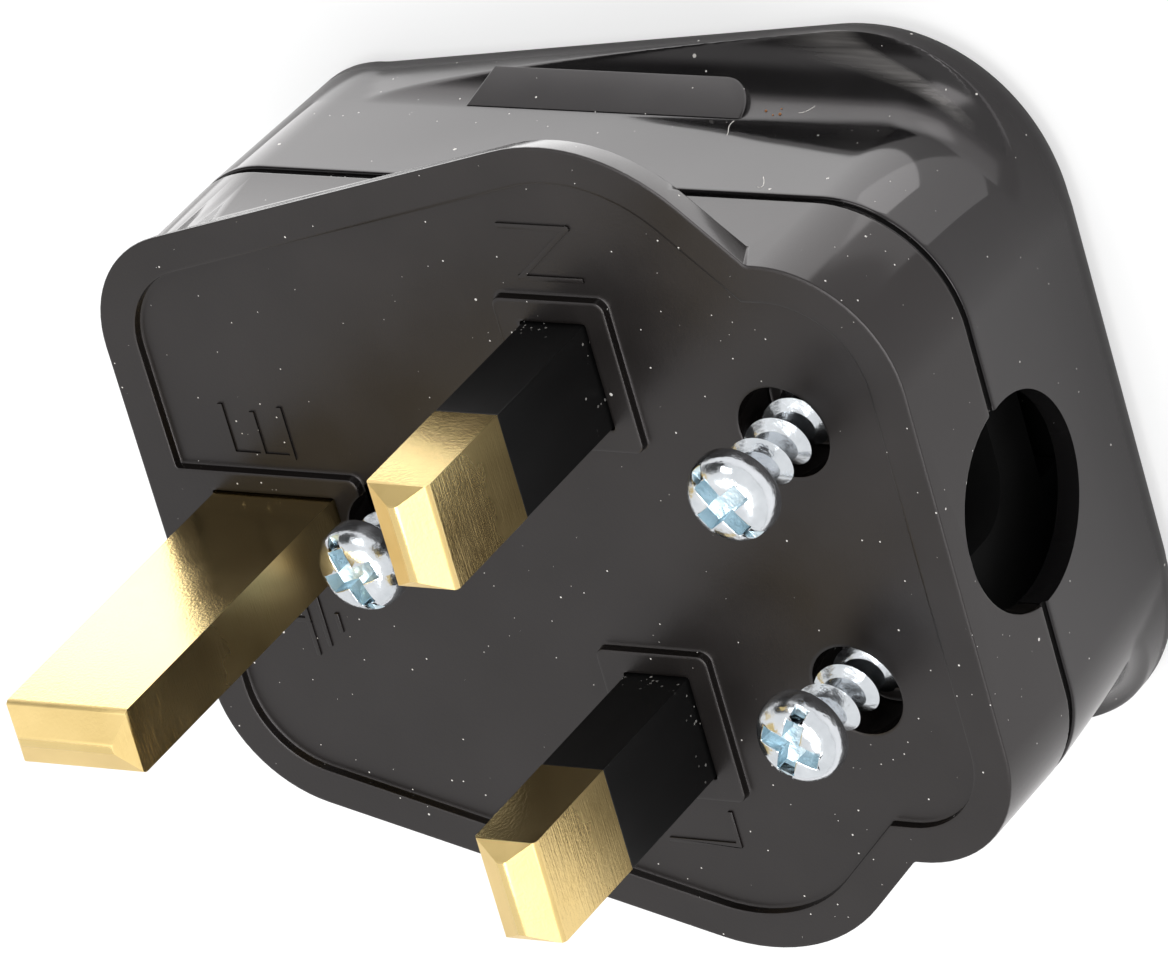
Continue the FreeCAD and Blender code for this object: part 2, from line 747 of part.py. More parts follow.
# Screws and cord grip

def revolve(body, profile):
    """Full turn of a profile about the body's own vertical axis."""
    sketch = sketch_on(body, "XZ_Plane")
    profile(sketch)
    turned = body.newObject("PartDesign::Revolution", "Revolution")
    turned.Profile = sketch
    turned.ReferenceAxis = (sketch, ["V_Axis"])
    turned.Angle = FULL_TURN
    return turned


def self_tapper(label, x, y, lift, **stance):
    """Pan-head screw, drawn from its point up, with a slot and a cross. Its core stands for the thread."""
    body = new_body(label)
    crown = "screw_length + screw_head_height"
    revolve(body, outline(
        ("0", "0"),
        ("screw_core_radius", "screw_point"),
        ("screw_core_radius", "screw_length"),
        ("screw_head_radius", "screw_length"),
        ("screw_head_radius", crown, "screw_dome_radius"),
        ("0", crown)))
    half = "recess_width / 2"
    span = "recess_half_span"
    cut(body, crown, f"{crown} - recess_deep", rectangle(minus(span), span, minus(half), half))
    cut(body, crown, f"{crown} - recess_deep", rectangle(minus(half), half, minus(span), span))
    place(body, x, y, f"{lift} - screw_length", **stance)
    return body


def terminal_screw(label, x, y, turn=0):
    """Slotted screw that clamps the wire in a pillar."""
    body = new_body(label)
    seat = "-face_thickness - head_height"
    crown = f"{seat} - terminal_head_height"
    revolve(body, outline(
        ("0", f"{seat} + terminal_screw_bite"),
        ("0", crown),
        ("terminal_head_radius", crown),
        ("terminal_head_radius", seat),
        ("terminal_thread_radius", seat),
        ("terminal_thread_radius", f"{seat} + terminal_screw_bite")))
    half = "terminal_slot_width / 2"
    cut(body, f"{crown} + terminal_slot_depth", crown, rectangle(
        "-terminal_head_radius", "terminal_head_radius", minus(half), half))
    place(body, x, y, turn=turn)
    return body


def cord_grip():
    """Saddle across the cord channel: two posts that take the grip screws, and a bridge under the cord."""
    body = new_body("cord_grip")
    top = "-boss_depth - grip_fit"
    bottom = f"{minus(CAVITY_DEPTH)} + grip_fit"
    outer = "grip_screw_offset + grip_end_margin"
    inner = "grip_screw_offset - grip_end_margin"
    bridge_back = "-grip_bridge_depth - grip_bridge_thickness"
    side = sketch_on(body, "XZ_Plane", "grip_screw_back")
    extrude(body, "Pad", side, "2 * grip_half_length", [mirrored([
        (inner, bottom),
        (outer, bottom),
        (outer, top),
        (inner, top),
        (inner, "-grip_bridge_depth", "grip_arch_radius"),
    ])], symmetric=True)
    under = sketch_on(body, "XZ_Plane", "grip_screw_back")
    extrude(body, "Pocket", under, "4 * grip_half_length", [rectangle(
        minus(inner), inner, bottom, bridge_back)], symmetric=True)
    for x in GRIP_SCREWS.values():
        cut(body, top, f"{bottom} + back_wall", circle(x, GRIP_Y, PILOT_RADIUS))
    return body


# The whole plug

# How far each screw was turned, and the way the loose ones lean
CASE_SCREW_TURN = 20
GRIP_SCREW_TURNS = {"n": 35, "l": -25}
GRIP_SCREW_HEADINGS = {"n": -105, "l": 45}

pieces = [
    base_moulding(),
    cover_moulding(),
    earth_pin(),
    neutral_pin(),
    line_pin(),
    sleeve("neutral"),
    sleeve("line"),
    line_terminal(),
    fuse_clip("pin", "0"),
    fuse_clip("terminal", FAR_CLIP_Y),
    fuse_barrel(),
    fuse_cap("fuse_cap_pin_end", FUSE_START, f"{FUSE_START} + fuse_cap_wall"),
    fuse_cap("fuse_cap_terminal_end", f"{FUSE_START} + fuse_length - fuse_cap_length",
             f"{FUSE_START} + fuse_length - fuse_cap_length - fuse_cap_wall"),
    terminal_screw("earth_terminal_screw", "0", "earth_offset", QUARTER_TURN),
    terminal_screw("neutral_terminal_screw", PIN_X["neutral"], "0"),
    terminal_screw("line_terminal_screw", PILLAR_X, "pillar_y"),
    self_tapper("case_screw", "0", CASE_SCREW_Y, "case_screw_lift", turn=CASE_SCREW_TURN),
    cord_grip(),
]
for side, x in GRIP_SCREWS.items():
    pieces.append(self_tapper(
        f"cord_grip_screw_{side}", x, GRIP_Y, f"grip_screw_{side}_lift", turn=GRIP_SCREW_TURNS[side],
        lean=value(f"grip_screw_{side}_lean"), heading=GRIP_SCREW_HEADINGS[side]))

doc.recompute()

for item in doc.Objects:
    if "Invalid" in item.State or "Error" in item.State:
        raise RuntimeError(f"{item.Label} failed: {item.State}")
for piece in pieces:
    if piece.Shape.isNull() or not piece.Shape.isValid():
        raise RuntimeError(f"{piece.Label} has no valid shape")

os.makedirs("parts", exist_ok=True)
for piece in pieces:
    piece.Shape.exportStep(f"parts/{piece.Label}.step")
    print(f"{piece.Label}: {len(piece.Shape.Solids)} solid, {piece.Shape.Volume:.1f} mm3")
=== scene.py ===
"""Looks of the black three-pin plug: moulded shells, brass pins, plated screws, marks, light and camera."""
import json
import math

import bpy
from mathutils import Matrix, Vector


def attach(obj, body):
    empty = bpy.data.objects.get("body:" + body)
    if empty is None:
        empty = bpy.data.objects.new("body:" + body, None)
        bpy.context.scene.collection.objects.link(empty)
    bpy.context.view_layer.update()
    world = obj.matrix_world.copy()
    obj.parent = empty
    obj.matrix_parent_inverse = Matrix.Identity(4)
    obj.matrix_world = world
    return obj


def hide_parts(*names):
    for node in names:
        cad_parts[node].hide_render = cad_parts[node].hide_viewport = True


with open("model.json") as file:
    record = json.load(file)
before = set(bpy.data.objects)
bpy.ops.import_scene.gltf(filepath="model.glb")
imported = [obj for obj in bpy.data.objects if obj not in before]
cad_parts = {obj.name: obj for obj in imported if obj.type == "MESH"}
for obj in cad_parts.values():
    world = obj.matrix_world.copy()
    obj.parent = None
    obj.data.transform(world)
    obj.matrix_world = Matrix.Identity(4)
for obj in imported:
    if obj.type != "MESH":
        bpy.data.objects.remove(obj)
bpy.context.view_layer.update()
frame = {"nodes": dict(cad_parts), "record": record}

MM = 0.001

# Housing plan and depth, in millimetres, as in the part
BODY_HALF_WIDTH = 18.7
BODY_EARTH_END = 28.5
BODY_CABLE_END = 21.4
BODY_EARTH_RADIUS = 6.3
BODY_CABLE_RADIUS = 7.4
PARTING_DEPTH = 6.9
PARTING_CHAMFER = 0.25
PARTING_GROOVE = 0.28
PARTING_EDGE = 0.16
BACK_DEPTH = 21.0
WALL = 1.7
BACK_WALL = 1.8
SIDE_DRAFT = 0.6
CABLE_FACE_DRAFT = 0.8
BACK_EDGE_RADIUS = 1.8
BACK_RINGS = (1.0, 4.0)
CAVITY_RING_STEP = 1.0

# Lips, finger scoops and grip bars of the cover
LIP_ANGLE = math.radians(6.9)
LIP_TIP = 23.3
LIP_CABLE_END = 20.6
LIP_RADIUS = 11.8
LIP_EARTH_END = BODY_EARTH_END - BODY_EARTH_RADIUS
LIP_SOFTNESS = 0.08
LIP_SOFT_REACH = 1.5
LIP_SLOPE = 20
SCOOP_DEPTH = 14.8
SCOOP_RADIUS = 4.0
BAR_DEPTH = 15.0
BAR_HEIGHT = 2.6
BAR_RISE = 1.2
BAR_EARTH_END = 13.7
BAR_CABLE_END = -4.3
BAR_SLANT = 0.8
BAR_END_RADIUS = 2.0
BAR_EDGE = 0.15

# Cord mouth
CORD_RADIUS = 6.0
CORD_AXIS_DEPTH = 7.7

# Screws
HEAD_RADIUS = 2.6
HEAD_HEIGHT = 2.0
HEAD_EDGE = 0.15
DOME_RADIUS = 1.3
CROWN_RISE = 0.08
CORE_RADIUS = 1.15
SCREW_LENGTH = 15.0
SCREW_POINT = 2.0
THREAD_RADIUS = 1.75
THREAD_PITCH = 2.0
THREAD_ROOT_HALF = 0.5
THREAD_SINK = 0.15
RECESS_WIDTH = 1.05
RECESS_HALF_SPAN = 1.75
RECESS_DEEP = 1.1
SLOT_WIDTH = 0.75
SLOT_DEEP = 0.7
RECESS_EDGE = 0.06

# Marks on the recessed panel
PANEL_LEVEL = -0.5
MARK_HEIGHT = 0.12
MARK_WIDTH = 0.3
MARK_EDGE = 0.06

# Rounded edges of the CAD nodes, in millimetres, and the angles in degrees that make an edge sharp
SHELL_EDGE = 0.12
PIN_EDGE = 0.12
SLEEVE_EDGE = 0.1
SHARP_ANGLE = 35
PIN_SHARP_ANGLE = 12
MARK_SHARP_ANGLE = 60
MERGE_DISTANCE = 0.0005

# Angles in degrees over which neighbouring faces are shaded as one
SKIN_SMOOTH = 30
SHELL_SMOOTH = 40
SCREW_SMOOTH = 35
LINT_SMOOTH = 60

# Steps of the shapes
STRAIGHT_END_STEPS = 26
STRAIGHT_SIDE_STEPS = 90
CORNER_STEPS = 28
PARTING_EDGE_STEPS = 4
WALL_STEPS = 12
SCOOP_STEPS = 36
BACK_EDGE_STEPS = 10
REACH_ROUNDS = 12
BAR_END_STEPS = 10
MOUTH_SIDES = 96
LATHE_STEPS = 64
DOME_STEPS = 8
THREAD_STEPS = 40


class Socket:
    """A shader value that takes part in Python sums."""

    def __init__(self, finish, link):
        self.finish = finish
        self.link = link

    def maths(self, operation, first, second):
        return self.finish.node("ShaderNodeMath", {"operation": operation}, {0: first, 1: second})

    def __add__(self, other):
        return self.maths("ADD", self, other)

    __radd__ = __add__

    def __mul__(self, other):
        return self.maths("MULTIPLY", self, other)

    __rmul__ = __mul__

    def __sub__(self, other):
        return self.maths("SUBTRACT", self, other)

    def __rsub__(self, other):
        return self.maths("SUBTRACT", other, self)

    def __lt__(self, other):
        return self.maths("LESS_THAN", self, other)


class Finish:
    """A material with the nodes that paint it."""

    def __init__(self, name):
        self.material = bpy.data.materials.new(name)
        self.material.use_nodes = True
        self.tree = self.material.node_tree
        self.tree.nodes.clear()
        self.place = self.node("ShaderNodeTexCoord", output="Object")

    def node(self, kind, settings=None, sockets=None, output=0):
        """Any node: its settings first, then the values or links of its sockets."""
        made = self.tree.nodes.new(kind)
        for name, setting in (settings or {}).items():
            setattr(made, name, setting)
        for name, value in (sockets or {}).items():
            if isinstance(value, Socket):
                self.tree.links.new(value.link, made.inputs[name])
            else:
                made.inputs[name].default_value = value
        return Socket(self, made.outputs[output]) if made.outputs else None

    def noise(self, scale, detail=2.0, roughness=0.5, place=None):
        sockets = {"Vector": place or self.place, "Scale": scale, "Detail": detail, "Roughness": roughness}
        return self.node("ShaderNodeTexNoise", sockets=sockets)

    def stretched(self, scale):
        """Object coordinates with each axis scaled by itself."""
        return self.node("ShaderNodeMapping", sockets={"Vector": self.place, "Scale": scale})

    def ramp(self, value, low, high, start=0.0, end=1.0):
        """Value carried from one range to another, and held at its ends."""
        sockets = {"Value": value, "From Min": low, "From Max": high, "To Min": start, "To Max": end}
        return self.node("ShaderNodeMapRange", {"clamp": True}, sockets)

    def spread(self, noise, target):
        """Usual range of a noise carried to another range."""
        return self.ramp(noise, *NOISE_RANGE, *target)

    def mix(self, share, first, second):
        """Colour between two colours."""
        return self.node("ShaderNodeMix", {"data_type": "RGBA"}, {0: share, 6: first, 7: second}, output=2)

    def bump(self, height, distance):
        """Relief whose full height is a distance in millimetres."""
        sockets = {"Strength": 1.0, "Distance": distance * MM, "Height": height}
        return self.node("ShaderNodeBump", sockets=sockets)

    def facing(self, axis):
        """Component of the surface's own normal along an axis."""
        normal = self.node("ShaderNodeNewGeometry", output="Normal")
        return self.node("ShaderNodeSeparateXYZ", sockets={0: normal}, output=axis)

    def along(self, axis):
        """Place of a point along an axis, in millimetres."""
        return self.node("ShaderNodeSeparateXYZ", sockets={0: self.place}, output=axis) * (1 / MM)

    def dust(self, scale, share, size):
        """Mask of scattered round specks: a share of the cells of a random pattern has one."""
        cells = {"Vector": self.place, "Scale": scale}
        distance = self.node("ShaderNodeTexVoronoi", sockets=cells, output="Distance")
        chance = self.node("ShaderNodeTexVoronoi", sockets=cells, output="Color")
        pick = self.node("ShaderNodeSeparateColor", sockets={0: chance}, output=0)
        width = self.node("ShaderNodeSeparateColor", sockets={0: chance}, output=1)
        return (distance < width * size) * (pick < share)

    def surface(self, **sockets):
        """Principled surface; sockets are named with underscores for spaces."""
        named = {name.replace("_", " "): value for name, value in sockets.items()}
        shader = self.node("ShaderNodeBsdfPrincipled", sockets=named)
        self.node("ShaderNodeOutputMaterial", sockets={"Surface": shader})
        return self.material


# Finishes: colours, scales per metre, ranges of roughness, and heights of relief in millimetres
NOISE_RANGE = (0.3, 0.7)
WHITE_DUST = (0.62, 0.6, 0.57, 1)
WARM_GLOSS = (1, 0.955, 0.965, 1)
DUST_ROUGHNESS = 0.4

BASE_DARK = (0.006, 0.005, 0.0046, 1)
BASE_PALE = (0.01, 0.0084, 0.0078, 1)
BASE_FACE_TILT = (0.7, 0.9)
BASE_FACE_ROUGHNESS = (0.3, 0.4)
BASE_SIDE_ROUGHNESS = (0.1, 0.16)
BASE_IOR = 1.46
BASE_MOTTLE_SCALE = 140
BASE_GRAIN_SCALE = 5200
BASE_WAVE_SCALE = 55
BASE_GRAIN_SHARE = 0.12
BASE_WAVE_SHARE = 1.4
BASE_RELIEF = 0.05
BASE_FINE_DUST = {"scale": 2500, "share": 0.15, "size": 0.15}
BASE_COARSE_DUST = {"scale": 800, "share": 0.25, "size": 0.09}
BASE_DUST_COVER = 0.85

COVER_DARK = (0.004, 0.0038, 0.004, 1)
COVER_PALE = (0.008, 0.0075, 0.0076, 1)
COVER_WALL_ROUGHNESS = (0.04, 0.08)
COVER_SCOOP_ROUGHNESS = (0.16, 0.26)
COVER_LIP_ROUGHNESS = 0.2
COVER_IOR = 1.51
COVER_MOTTLE_SCALE = 120
COVER_WAVE_SCALE = 60
COVER_RELIEF = 0.15
COVER_FINE_DUST = {"scale": 2500, "share": 0.08, "size": 0.15}
COVER_COARSE_DUST = {"scale": 700, "share": 0.2, "size": 0.09}
COVER_DUST_COVER = 0.8
SCOOP_BLEND = 0.4
LIP_BLEND = 0.2

# Scuffed streak of the cover, painted a lighter grey as a painted highlight: where it starts, its depth there
# and how it curves up, in millimetres
SCUFF_HIGHLIGHT_START = -5.0
SCUFF_HIGHLIGHT_END = -18.0
SCUFF_HIGHLIGHT_START_FADE = 4.0
SCUFF_HIGHLIGHT_END_FADE = 2.0
SCUFF_HIGHLIGHT_DEPTH = 18.95
SCUFF_HIGHLIGHT_CURVE = 0.0125
SCUFF_HIGHLIGHT_UPPER_EDGE = (-0.6, -0.15)
SCUFF_HIGHLIGHT_LOWER_EDGE = (0.25, 0.1)
SCUFF_HIGHLIGHT_GRAIN = (4000, 200, 4000)
SCUFF_HIGHLIGHT_CONTRAST = (0.1, 0.9)
SCUFF_ROUGHNESS = 0.2
# Lighter grey of the streak: a painted highlight laid over the scuff
SCUFF_HIGHLIGHT_GREY = (0.12, 0.115, 0.11, 1)

SLEEVE_DARK = (0.003, 0.003, 0.0032, 1)
SLEEVE_PALE = (0.006, 0.0058, 0.0058, 1)
SLEEVE_ROUGHNESS = (0.3, 0.45)
SLEEVE_IOR = 1.4
SLEEVE_STREAK_SCALE = 300
SLEEVE_STREAK_STRETCH = (1, 1, 0.2)
SLEEVE_ROOT = (1.4, 0.1)
SLEEVE_DUST = {"scale": 1500, "share": 0.06, "size": 0.12}
SLEEVE_ROOT_DUST = {"scale": 3500, "share": 0.35, "size": 0.3}
SLEEVE_DUST_COVER = 0.6

BRASS_DARK = (0.81, 0.59, 0.23, 1)
BRASS_PALE = (0.93, 0.73, 0.35, 1)
BRASS_TARNISHED = (0.3, 0.22, 0.1, 1)
BRASS_TARNISH_RANGE = (4, 14)
BRASS_TARNISH_ROUGHNESS = 0.3
BRASS_ROUGHNESS = (0.16, 0.24)
BRASS_SLANT_START = (0.2, 0.4)
BRASS_SLANT_END = (0.98, 0.92)
BRASS_SLANT_ROUGHNESS = 0.25
BRASS_TONE_SCALE = 260
BRASS_PIT_SCALE = 5500
BRASS_LINE_STRETCH = (350, 350, 9000)
BRASS_LINE_SHARE = 3.5
BRASS_PIT_SHARE = 1.8
BRASS_RELIEF = 0.005

PLATE_TONE_SCALE = 900
PLATE_DENT_SCALE = 1400
DIRT_SCALE = 4000
DIRT_ROUGHNESS = 0.9

INNER_LOOKS = {
    "terminal_brass": {
        "scale": 400, "metallic": 1.0, "roughness": (0.3, 0.45),
        "dark": (0.62, 0.45, 0.2, 1), "pale": (0.78, 0.6, 0.31, 1)},
    "clip_metal": {
        "scale": 900, "metallic": 1.0, "roughness": (0.25, 0.4),
        "dark": (0.5, 0.5, 0.48, 1), "pale": (0.7, 0.7, 0.68, 1)},
    "fuse_ceramic": {
        "scale": 700, "detail": 4, "roughness": (0.5, 0.7),
        "dark": (0.72, 0.69, 0.62, 1), "pale": (0.84, 0.82, 0.76, 1)},
    "fuse_cap_metal": {
        "scale": 900, "metallic": 1.0, "roughness": (0.2, 0.35),
        "dark": (0.6, 0.59, 0.56, 1), "pale": (0.8, 0.79, 0.76, 1)},
    "grip_plastic": {
        "scale": 300, "roughness": (0.35, 0.5),
        "dark": (0.012, 0.012, 0.012, 1), "pale": (0.022, 0.022, 0.022, 1)},
}


def base_plastic():
    """Black moulded base: a satin pin face with dust on it, and glossy sides."""
    finish = Finish("base_plastic")
    face = finish.ramp(finish.facing("Z"), *BASE_FACE_TILT)
    mottle = finish.noise(BASE_MOTTLE_SCALE, detail=4)
    specks = finish.dust(**BASE_FINE_DUST) + finish.dust(**BASE_COARSE_DUST)
    plastic = finish.mix(mottle, BASE_DARK, BASE_PALE)
    colour = finish.mix(specks * BASE_DUST_COVER, plastic, WHITE_DUST)
    satin = finish.spread(mottle, BASE_FACE_ROUGHNESS)
    sides = finish.spread(mottle, BASE_SIDE_ROUGHNESS)
    roughness = sides + (satin - sides) * face + specks * DUST_ROUGHNESS
    grain = finish.noise(BASE_GRAIN_SCALE, detail=2)
    wave = finish.noise(BASE_WAVE_SCALE, detail=1)
    relief = grain * face * BASE_GRAIN_SHARE + wave * (1 - face) * BASE_WAVE_SHARE
    return finish.surface(
        Base_Color=colour, Roughness=roughness, IOR=BASE_IOR, Specular_Tint=WARM_GLOSS,
        Normal=finish.bump(relief, BASE_RELIEF))


def cover_plastic():
    """Gloss black cover, faintly wavy, a little dusty, with a rougher scuffed streak inside the edge of each
    lip that also carries a painted highlight.
    """
    finish = Finish("cover_plastic")
    mottle = finish.noise(COVER_MOTTLE_SCALE, detail=3)
    specks = finish.dust(**COVER_FINE_DUST) + finish.dust(**COVER_COARSE_DUST)
    plastic = finish.mix(mottle, COVER_DARK, COVER_PALE)
    depth = -1 * finish.along("Z")
    across = finish.along("Y")
    started = finish.ramp(across, SCUFF_HIGHLIGHT_START, SCUFF_HIGHLIGHT_START - SCUFF_HIGHLIGHT_START_FADE)
    ended = finish.ramp(across, SCUFF_HIGHLIGHT_END, SCUFF_HIGHLIGHT_END + SCUFF_HIGHLIGHT_END_FADE)
    run = across - SCUFF_HIGHLIGHT_START
    below = depth - SCUFF_HIGHLIGHT_DEPTH + SCUFF_HIGHLIGHT_CURVE * run * run
    band = finish.ramp(below, *SCUFF_HIGHLIGHT_UPPER_EDGE) * finish.ramp(below, *SCUFF_HIGHLIGHT_LOWER_EDGE)
    brushed = finish.noise(1.0, detail=2, place=finish.stretched(SCUFF_HIGHLIGHT_GRAIN))
    # Painted highlight: the streak is painted a lighter grey as well as made rougher
    scuff_highlight = finish.ramp(brushed, *SCUFF_HIGHLIGHT_CONTRAST) * band * started * ended
    worn_and_highlit = finish.mix(scuff_highlight, plastic, SCUFF_HIGHLIGHT_GREY)
    colour = finish.mix(specks * COVER_DUST_COVER, worn_and_highlit, WHITE_DUST)
    scoop = finish.ramp(depth, SCOOP_DEPTH, SCOOP_DEPTH + SCOOP_BLEND)
    lip_depth = SCOOP_DEPTH + SCOOP_RADIUS
    lip = finish.ramp(depth, lip_depth - LIP_BLEND, lip_depth + LIP_BLEND)
    wall = finish.spread(mottle, COVER_WALL_ROUGHNESS)
    satin = finish.spread(mottle, COVER_SCOOP_ROUGHNESS)
    moulded = wall + (satin - wall) * scoop + lip * COVER_LIP_ROUGHNESS
    wave = finish.noise(COVER_WAVE_SCALE, detail=1)
    return finish.surface(
        Base_Color=colour, Roughness=moulded + specks * DUST_ROUGHNESS + scuff_highlight * SCUFF_ROUGHNESS,
        IOR=COVER_IOR, Specular_Tint=WARM_GLOSS, Normal=finish.bump(wave, COVER_RELIEF))


def sleeve_plastic():
    """Deep black sleeve moulded on a pin, with dust round its root."""
    finish = Finish("sleeve_plastic")
    streak = finish.noise(SLEEVE_STREAK_SCALE, detail=3, place=finish.stretched(SLEEVE_STREAK_STRETCH))
    plastic = finish.mix(streak, SLEEVE_DARK, SLEEVE_PALE)
    root = finish.ramp(finish.along("Z"), *SLEEVE_ROOT)
    specks = finish.dust(**SLEEVE_DUST) + finish.dust(**SLEEVE_ROOT_DUST) * root
    return finish.surface(
        Base_Color=finish.mix(specks * SLEEVE_DUST_COVER, plastic, WHITE_DUST),
        Roughness=finish.spread(streak, SLEEVE_ROUGHNESS), IOR=SLEEVE_IOR)


def pin_brass():
    """Drawn brass: tool lines across the narrow faces, tarnished near the root, and a fine grain all over."""
    finish = Finish("pin_brass")
    narrow = finish.facing("Y") * finish.facing("Y")
    lines = finish.noise(1.0, detail=4, roughness=0.6, place=finish.stretched(BRASS_LINE_STRETCH)) * narrow
    pits = finish.noise(BRASS_PIT_SCALE, detail=2)
    tone = finish.noise(BRASS_TONE_SCALE, detail=3)
    tarnish = (1 - finish.ramp(finish.along("Z"), *BRASS_TARNISH_RANGE)) * narrow
    clean = finish.mix(tone, BRASS_DARK, BRASS_PALE)
    upward = finish.facing("Z")
    slanted = finish.ramp(upward, *BRASS_SLANT_START) * finish.ramp(upward, *BRASS_SLANT_END)
    drawn = finish.spread(tone, BRASS_ROUGHNESS)
    return finish.surface(
        Base_Color=finish.mix(tarnish, clean, BRASS_TARNISHED), Metallic=1.0,
        Roughness=drawn + slanted * BRASS_SLANT_ROUGHNESS + tarnish * BRASS_TARNISH_ROUGHNESS,
        Normal=finish.bump(lines * BRASS_LINE_SHARE + pits * BRASS_PIT_SHARE, BRASS_RELIEF))


def mottled(name, scale, dark, pale, roughness, metallic=0.0, detail=3):
    """Plain material whose tone and gloss vary in soft patches."""
    finish = Finish(name)
    tone = finish.noise(scale, detail)
    return finish.surface(
        Base_Color=finish.mix(tone, dark, pale), Metallic=metallic, Roughness=finish.spread(tone, roughness))


def plated(name, dark, pale, roughness, dents):
    """Plated metal whose tone and gloss vary in soft patches, with dents of a height in millimetres."""
    finish = Finish(name)
    tone = finish.noise(PLATE_TONE_SCALE, detail=3)
    return finish.surface(
        Base_Color=finish.mix(tone, dark, pale), Metallic=1.0, Roughness=finish.spread(tone, roughness),
        Normal=finish.bump(finish.noise(PLATE_DENT_SCALE, detail=3), dents))


def dirt(name, dark, pale):
    """Dull dry dirt."""
    finish = Finish(name)
    colour = finish.mix(finish.noise(DIRT_SCALE, detail=2), dark, pale)
    return finish.surface(Base_Color=colour, Roughness=DIRT_ROUGHNESS)


# Modelling by hand

def deselect():
    bpy.ops.object.select_all(action="DESELECT")


def make_active(piece):
    deselect()
    piece.select_set(True)
    bpy.context.view_layer.objects.active = piece


def edit_all(piece):
    make_active(piece)
    bpy.ops.object.mode_set(mode="EDIT")
    bpy.ops.mesh.select_all(action="SELECT")


def leave_edit():
    bpy.ops.object.mode_set(mode="OBJECT")


def apply_modifier(piece, kind, **settings):
    make_active(piece)
    modifier = piece.modifiers.new(kind, kind)
    for name, setting in settings.items():
        setattr(modifier, name, setting)
    bpy.ops.object.modifier_apply(modifier=modifier.name)


def smooth(piece, angle):
    make_active(piece)
    bpy.ops.object.shade_smooth_by_angle(angle=math.radians(angle))


def set_down(piece, place):
    """Give a piece its place, and leave the object at the origin."""
    make_active(piece)
    piece.matrix_world = place @ piece.matrix_world
    bpy.ops.object.transform_apply(location=True, rotation=True, scale=True)


def dress(piece, name, finish, slot, *nodes):
    """Name a finished piece, give it its finish and let it stand for CAD nodes."""
    piece.name = name
    if not piece.data.materials:
        piece.data.materials.append(finish)
    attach(piece, "root")
    if nodes:
        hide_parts(*nodes)


def box(size, centre):
    """Block of a size round a centre, in millimetres."""
    deselect()
    bpy.ops.mesh.primitive_cube_add(size=1)
    piece = bpy.context.object
    piece.scale = Vector(size) * MM
    piece.location = Vector(centre) * MM
    bpy.ops.object.transform_apply(location=True, rotation=True, scale=True)
    return piece


def cut_away(piece, cutter):
    """Cut one piece out of another; the cut's walls keep the cutter's finish."""
    apply_modifier(
        piece, "BOOLEAN", object=cutter, operation="DIFFERENCE", solver="EXACT", material_mode="TRANSFER")
    bpy.data.objects.remove(cutter)


def refined(node, edge_radius, segments=2, sharp=SHARP_ANGLE, banded=False, clamped=False):
    """Copy of a CAD node with its hard edges rounded, on request inside bands of quads."""
    source = frame["nodes"][node]
    piece = bpy.data.objects.new(f"{node}_skin", source.data.copy())
    bpy.context.scene.collection.objects.link(piece)
    piece.data.materials.clear()
    make_active(piece)
    if piece.data.has_custom_normals:
        bpy.ops.mesh.customdata_custom_splitnormals_clear()
    edit_all(piece)
    bpy.ops.mesh.remove_doubles(threshold=MERGE_DISTANCE * MM)
    leave_edit()
    if banded:
        inset_flats(piece, 2 * edge_radius)
    apply_modifier(
        piece, "BEVEL", width=edge_radius * MM, segments=segments, limit_method="ANGLE",
        angle_limit=math.radians(sharp), use_clamp_overlap=clamped, miter_outer="MITER_ARC")
    smooth(piece, SKIN_SMOOTH)
    apply_modifier(piece, "WEIGHTED_NORMAL", keep_sharp=True)
    return piece


FLAT_ANGLE = 3
QUAD_SHAPE_ANGLE = 120
FACES_UP = 0.999


def inset_flats(piece, width):
    """Band of quads along the edges of every flat that faces up, so that long triangles end short of them."""
    edit_all(piece)
    bpy.ops.mesh.tris_convert_to_quads(
        face_threshold=math.radians(FLAT_ANGLE), shape_threshold=math.radians(QUAD_SHAPE_ANGLE))
    bpy.ops.mesh.select_mode(type="FACE")
    bpy.ops.mesh.select_all(action="DESELECT")
    leave_edit()
    for polygon in piece.data.polygons:
        polygon.select = polygon.normal.z > FACES_UP
    bpy.ops.object.mode_set(mode="EDIT")
    bpy.ops.mesh.inset(thickness=width * MM, use_even_offset=True)
    bpy.ops.mesh.select_mode(type="VERT")
    leave_edit()


# Cover shell

